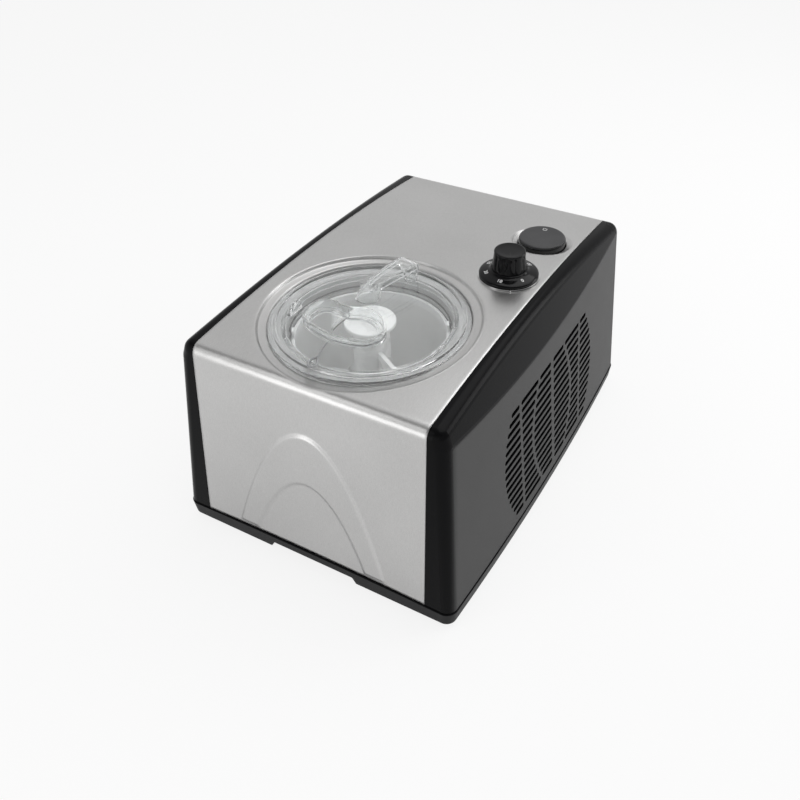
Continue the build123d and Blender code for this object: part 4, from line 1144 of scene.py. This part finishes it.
# --- controls
@dataclass
class PowerButton(Part):
    """The round power button with its printed mark and its return spring. Sizes in millimetres."""

    x: float = 82.1
    y: float = 118.1
    radius: float = 24.2
    top: float = 221.2
    low: float = 206.0
    crown: float = 3.5
    stem_radius: float = 3.5
    stem_low: float = 188.5
    wall: float = 2.0
    mark_aside: float = 3.6
    mark_distance: float = 15.5
    mark_sink: float = 0.33
    mark_start: float = 125.0
    mark_sweep: float = 290.0
    mark_radius: float = 2.1
    mark_line: float = 0.3
    travel: float = 3.0
    spring_low: float = 196.0
    spring_radius: float = 6.6
    spring_wire: float = 0.5
    spring_turns: int = 6

    def build(self) -> None:
        """Makes the cap, its mark and its spring."""
        radius, top, under = self.radius, self.top, self.top - self.crown
        inner = radius - self.wall
        cap = Piece("power_button_cap")
        cap.turned(section([
            (0.0, top - 0.5, 0), (radius * 0.55, top - 0.4, 5.0), (radius - 1.2, top, 1.6),
            (radius, top - 2.2, 1.3), (radius, self.low, 0.4), (inner, self.low, 0.4), (inner, under, 0.8),
            (self.stem_radius, under, 0.8), (self.stem_radius, self.stem_low, 0.4), (0.0, self.stem_low, 0),
        ]), self.x, self.y)
        self.place(cap, "button", "button_satin", ["power_button"])
        self.mark()
        self.spring()

    def spring(self) -> None:
        """The return spring under the cap, made at its rest length; the real spring shortens as the button
        goes down.
        """
        low, high = self.spring_low + self.spring_wire, self.top - self.crown - self.spring_wire
        reach, sides = self.spring_radius, 24
        count = self.spring_turns * sides
        line = []
        for step in range(count + 1):
            height = low + (high - low) * step / count
            line.append(around(self.x, self.y, height, reach, 2 * math.pi * step / sides))
        spring = Piece("button_coil")
        spring.tube(line, self.spring_wire, 8)
        coil = self.place(spring, "root", "steel", ["button_spring"])
        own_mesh(coil)

    def mark(self) -> None:
        """The printed mark: an open ring with a bar through the gap."""
        x, y, z = self.x - self.mark_aside, self.y + self.mark_distance, self.top - self.mark_sink
        turns = [math.radians(self.mark_start + self.mark_sweep * step / 32) for step in range(33)]
        mark = Piece("power_mark")
        mark.tube([around(x, y, z, self.mark_radius, turn) for turn in turns], self.mark_line, 8)
        mark.tube([(x, y + 0.4 + 0.5 * step, z) for step in range(5)], self.mark_line, 8)
        self.place(mark, "button", "paddle_white", look=Look.print_white)


@dataclass
class Dial(Part):
    """The timer dial: numbered skirt, fluted knob and the bright ring's index. Sizes in millimetres."""

    x: float = 82.3
    y: float = 35.2
    neck: float = 9.0
    skirt_radius: float = 29.0
    skirt_low: float = 222.2
    skirt_high: float = 229.2
    knob_low: float = 229.5
    knob_top: float = 248.0
    knob_foot: float = 17.0
    knob_head: float = 15.2
    flutes: int = 10
    flute_depth: float = 0.75
    flute_power: float = 0.35
    flute_fade: float = 1.5
    flute_inset: float = 0.15
    pointer_sink: float = 0.92
    pointer_thick: float = 0.35
    rest_angle: float = -63.0
    slope_radius: float = 19.6
    slope_high: float = 5.0
    slope: float = 0.255
    number_distance: float = 22.6
    number_height: float = 5.2
    number_thick: float = 0.05
    number_bold: float = 0.09
    number_gap: float = 0.08
    number_lean: float = 0.62
    numbers: tuple[tuple[str, float], ...] = (
        ("0", -31.0), ("10", -88.0), ("20", -141.0), ("30", 172.0), ("40", 113.0), ("50", 54.0),
    )
    shaft: float = 3.0
    index_low: float = 221.4
    index_high: float = 222.1
    index_reach: float = 31.2
    index_half_width: float = 1.8

    def build(self) -> None:
        """Makes the skirt, its numbers, the knob and the ring's index."""
        self.skirt()
        self.knob()
        for label, angle in self.numbers:
            self.number(label, angle)
        self.index()

    def skirt(self) -> None:
        """The fixed skirt, one smooth turned form."""
        skirt = Piece("dial_skirt_body")
        radius, low, high = self.skirt_radius, self.skirt_low, self.skirt_high
        skirt.turned(section([
            (self.neck, low, 0), (radius - 0.6, low, 0.5), (radius, low + 1.4, 0.7),
            (radius - 1.6, low + 3.0, 1.2), (self.slope_radius, low + self.slope_high, 1.5),
            (self.slope_radius - 2.0, high, 0.6), (self.neck, high, 0), (self.neck, low, 0),
        ]), self.x, self.y, 160)
        self.place(skirt, "root", "gloss_black", ["dial_skirt"])

    def knob(self) -> None:
        """The tapered knob with shallow flutes, a dished top and a low pointer rib."""
        rest = math.radians(self.rest_angle)

        def fluted(radius: float, z: float, angle: float) -> float:
            """Draws the side in along each flute, and not at the rim of the top.

            Args:
                radius: The radius without flutes.
                z: The height.
                angle: The place round the knob.

            Returns:
                The radius with flutes.
            """
            if radius < self.knob_head * 0.8:
                return radius
            wave = 0.5 - 0.5 * math.cos((angle - rest) * self.flutes + math.pi)
            reach = min(max((self.knob_top - 1.2 - z) / self.flute_fade, 0.0), 1.0)
            drawn = self.flute_depth * (1 - wave ** self.flute_power) * reach
            return radius - drawn - self.flute_inset * reach
        knob = Piece("timer_knob_body")
        profile = section([
            (0.0, self.knob_top - 0.7, 0), (self.knob_head * 0.6, self.knob_top - 0.6, 3.0),
            (self.knob_head - 0.4, self.knob_top, 1.4), (self.knob_head + 0.3, self.knob_top - 3.0, 1.4),
        ])
        spread, high = self.knob_foot - self.knob_head, self.knob_top - 3.5
        side = [(self.knob_head + spread * step / 10, high - (high - self.knob_low) * step / 10)
                for step in range(1, 11)]
        base = [(self.shaft, self.knob_low), (self.shaft, self.knob_top - 5.0), (0.0, self.knob_top - 5.0)]
        knob.turned(profile + side + base, self.x, self.y, 240, fluted)
        self.place(knob, "timer", "gloss_black", ["timer_knob"])
        pointer = Piece("knob_pointer")
        ahead = Vector((math.cos(rest), math.sin(rest), 0.0))
        start = Vector((self.x, self.y, self.knob_top - self.pointer_sink))
        line = [start + ahead * (4.0 + 0.9 * step) + Vector((0, 0, 0.05 * step)) for step in range(11)]
        pointer.tube(line, self.pointer_thick, 8)
        self.place(pointer, "timer", "gloss_black")

    def number(self, label: str, angle: float) -> None:
        """One printed number that stands on the slope of the skirt.

        Args:
            label: The number.
            angle: Its place round the dial, in degrees from +X.
        """
        text = bpy.data.curves.new("number_" + label, "FONT")
        text.body = label
        text.size = self.number_height * MM
        text.align_x = "CENTER"
        text.align_y = "CENTER"
        text.extrude = self.number_thick * MM
        text.offset = self.number_bold * MM
        text.space_character = 1.05
        holder = put("number_holder", text)
        data = bpy.data.meshes.new_from_object(holder.evaluated_get(bpy.context.evaluated_depsgraph_get()))
        bpy.data.objects.remove(holder)
        turn, reach = math.radians(angle), self.number_distance
        drop = math.atan2(4.0, self.skirt_radius - self.slope_radius)
        height = self.skirt_low + self.slope_high - (reach - self.slope_radius) * self.slope + self.number_gap
        centre = Vector(around(self.x, self.y, height, reach, turn))
        place = Matrix.Translation(centre * MM) @ Matrix.Rotation(turn + math.pi / 2, 4, "Z")
        place = place @ Matrix.Rotation(drop * self.number_lean, 4, "X")
        data.transform(place)
        piece = put("dial_number_" + label, data)
        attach(piece, "root")
        self.workshop.dress(piece, Look.print_white)

    def index(self) -> None:
        """The small pointer on the bright ring."""
        turn = math.radians(self.rest_angle)
        ahead = Vector((math.cos(turn), math.sin(turn), 0.0))
        side = Vector((-math.sin(turn), math.cos(turn), 0.0))
        foot, half = ahead * self.skirt_radius, side * self.index_half_width
        corners = [foot + half, ahead * self.index_reach, foot - half]
        middle = sum(corners, Vector()) / 3
        low, high = (Vector((self.x, self.y, z)) for z in (self.index_low, self.index_high))
        index = Piece("ring_index")
        index.grid([[low + middle] * 3, [low + corner for corner in corners],
                    [high + corner for corner in corners], [high + middle] * 3])
        self.place(index, "root", "bright_ring")


# --- bowl fittings
@dataclass
class Bail(Part):
    """The wire bail of the bowl, lying back round one side of its rim. Sizes in millimetres."""

    x: float = 0.0
    y: float = -85.0
    z: float = 204.0
    radius: float = 74.4
    pin_reach: float = 3.6
    wire: float = 0.85
    hook: float = 2.3
    angle: float = 32.0

    def build(self) -> None:
        """Makes the hoop with its turned-in ends, and the small hook at each pivot."""
        bail = Piece("bail_wire")
        ends = [self.at(self.radius - self.pin_reach, self.angle), self.at(self.radius - 1.0, self.angle)]
        hoop = [self.at(self.radius, self.angle + 1.0 + 178.0 * k / 90) for k in range(91)]
        end = self.angle + 180.0
        far = [self.at(self.radius - 1.0, end), self.at(self.radius - self.pin_reach, end)]
        bail.tube(ends + hoop + far, self.wire)
        for side in (0.0, 180.0):
            centre = Vector(self.at(self.radius - 1.2, self.angle + side))
            tangent = Vector(self.at(1.0, self.angle + side + 90)) - Vector((self.x, self.y, self.z))
            loop = []
            for turn in (2 * math.pi * k / 26 for k in range(23)):
                out = tangent * self.hook * math.cos(turn) + Vector((0, 0, self.hook * math.sin(turn)))
                loop.append(centre + out)
            bail.tube(loop, self.wire * 0.8, 8)
        self.place(bail, "bail", "steel", ["bail"], look=Look.bail_wire)

    def at(self, radius: float, angle: float) -> Point:
        """A point at the bail's height, by its distance from the bowl's axis and its angle."""
        return around(self.x, self.y, self.z, radius, math.radians(angle))


# --- studio
@dataclass(frozen=True)
class Softbox:
    """A square soft lamp: where it hangs and what it faces, in metres, its side and its power in watts."""

    name: str
    place: Point
    aim: Point
    size: float
    power: float


@dataclass
class Studio:
    """Floor, world, lamps and camera. The camera's lengths are in millimetres, its angles in degrees."""

    lens: float = 37.637
    sensor: float = 36.0
    shift_x: float = -0.03125
    azimuth: float = 29.808
    elevation: float = 40.194
    roll: float = -1.081
    distance: float = 877.34
    slide_x: float = 7.166
    slide_y: float = -48.416
    target: Point = (0.0, 0.0, 120.0)
    ambient: float = 0.55
    horizon: float = 1.0
    horizon_start: float = 0.35
    horizon_end: float = 0.7
    front_dark: float = 0.14
    behind: float = 0.7
    east_fall: float = 0.55
    floor_half: float = 6.0
    floor_share: float = 0.84
    floor_gloss: float = 0.42
    lamps: tuple[Softbox, ...] = (
        Softbox("key_softbox", (-0.55, -0.95, 1.15), (0.0, -0.1, 0.15), 0.6, 1.3),
        Softbox("top_softbox", (0.35, 0.5, 1.5), (0.0, 0.0, 0.15), 1.4, 9.0),
        Softbox("side_softbox", (1.1, 0.95, 0.6), (0.15, 0.2, 0.1), 0.7, 4.4),
        Softbox("low_softbox", (-0.5, -1.25, 0.3), (0.0, -0.2, 0.2), 0.6, 1.25),
    )

    def build(self) -> None:
        """Makes the whole studio."""
        bpy.context.scene.view_settings.view_transform = "Standard"
        self.floor()
        self.world()
        for softbox in self.lamps:
            self.lamp(softbox)
        self.camera()

    def floor(self) -> None:
        """A pale floor that keeps a soft contact shadow."""
        data = bpy.data.meshes.new("studio_floor")
        half = self.floor_half
        corners = [(-half, -half, 0), (half, -half, 0), (half, half, 0), (-half, half, 0)]
        data.from_pydata(corners, [], [(0, 1, 2, 3)])
        put("studio_floor", data)
        graph = MaterialGraph("pale_floor")
        graph.surface(Base_Color=(0.9, 0.9, 0.9), Roughness=0.9, Specular_IOR_Level=0.0)
        x, y, _ = graph.place()
        reach = (x ** 2.0 + y ** 2.0) ** 0.5
        seen = graph.rays("Camera", "Transmission") * self.floor_share
        mirrored = graph.rays("Glossy") * (self.floor_gloss + (1.0 - self.floor_gloss) * reach.step(0.4, 1.1))
        white = {"Color": (1.0, 1.0, 1.0), "Strength": 1.0}
        graph.mix_in(seen.highest(mirrored), "ShaderNodeEmission", white)
        data.materials.append(graph.material)

    def world(self) -> None:
        """A white surround to look at, a softer one to be lit by, and a shaded one to be mirrored."""
        world = bpy.data.worlds.new("white_studio")
        bpy.context.scene.world = world
        world.use_nodes = True
        graph = Graph(world.node_tree)
        direction = graph.node("ShaderNodeTexCoord", {}, {}, "Generated")
        east, north, up = (graph.node("ShaderNodeSeparateXYZ", {}, {0: direction}, axis) for axis in "XYZ")
        facing = (0 - north).step(-0.1, 0.35)
        low = up.step(self.horizon_end, self.horizon_start)
        front = low * (self.horizon - self.front_dark) + self.front_dark
        sky = front * facing + self.behind * (1 - facing)
        sky = sky * (1 - self.east_fall * east.step(0.2, 0.9))
        glossy = graph.rays("Glossy")
        plain = graph.rays("Camera", "Transmission")
        plain = plain * (1.0 - self.ambient) + self.ambient
        background = world.node_tree.nodes["Background"]
        graph.set(background.inputs["Color"], (1.0, 1.0, 1.0))
        graph.set(background.inputs["Strength"], plain * (1 - glossy) + sky * glossy)

    def lamp(self, softbox: Softbox) -> None:
        """Hangs one lamp and turns it to what it faces.

        Args:
            softbox: The lamp.
        """
        data = bpy.data.lights.new(softbox.name, "AREA")
        data.shape = "SQUARE"
        data.size = softbox.size
        data.energy = softbox.power
        lamp = put(softbox.name, data)
        lamp.location = softbox.place
        ahead = Vector(softbox.aim) - Vector(softbox.place)
        lamp.rotation_euler = ahead.to_track_quat("-Z", "Y").to_euler()

    def camera(self) -> None:
        """The camera, by its angles round the target."""
        azimuth, elevation, roll = (math.radians(a) for a in (self.azimuth, self.elevation, self.roll))
        level = math.cos(elevation)
        back = Vector((math.sin(azimuth) * level, -math.cos(azimuth) * level, math.sin(elevation)))
        right = (-back).cross(Vector((0, 0, 1))).normalized()
        up = right.cross(-back)
        turned_right = right * math.cos(roll) + up * math.sin(roll)
        turned_up = up * math.cos(roll) - right * math.sin(roll)
        place = Vector(self.target) + back * self.distance
        place += turned_right * self.slide_x + turned_up * self.slide_y
        data = bpy.data.cameras.new("studio_camera")
        data.lens = self.lens
        data.sensor_width = self.sensor
        data.shift_x = self.shift_x
        camera = put("studio_camera", data)
        rotation = Matrix((turned_right, turned_up, back)).transposed().to_4x4()
        camera.matrix_world = Matrix.Translation(place * MM) @ rotation
        bpy.context.scene.camera = camera


def main() -> None:
    """Builds the looks of the whole machine around its frame."""
    logging.basicConfig(level=logging.INFO, format="%(message)s")
    workshop = Workshop()
    for kind in (Machine, Lid, RefillCap, PowerButton, Dial, Bail):
        kind(workshop).build()
        log.info("built %s", kind.__name__)
    Studio().build()


if __name__ == "__main__":
    main()
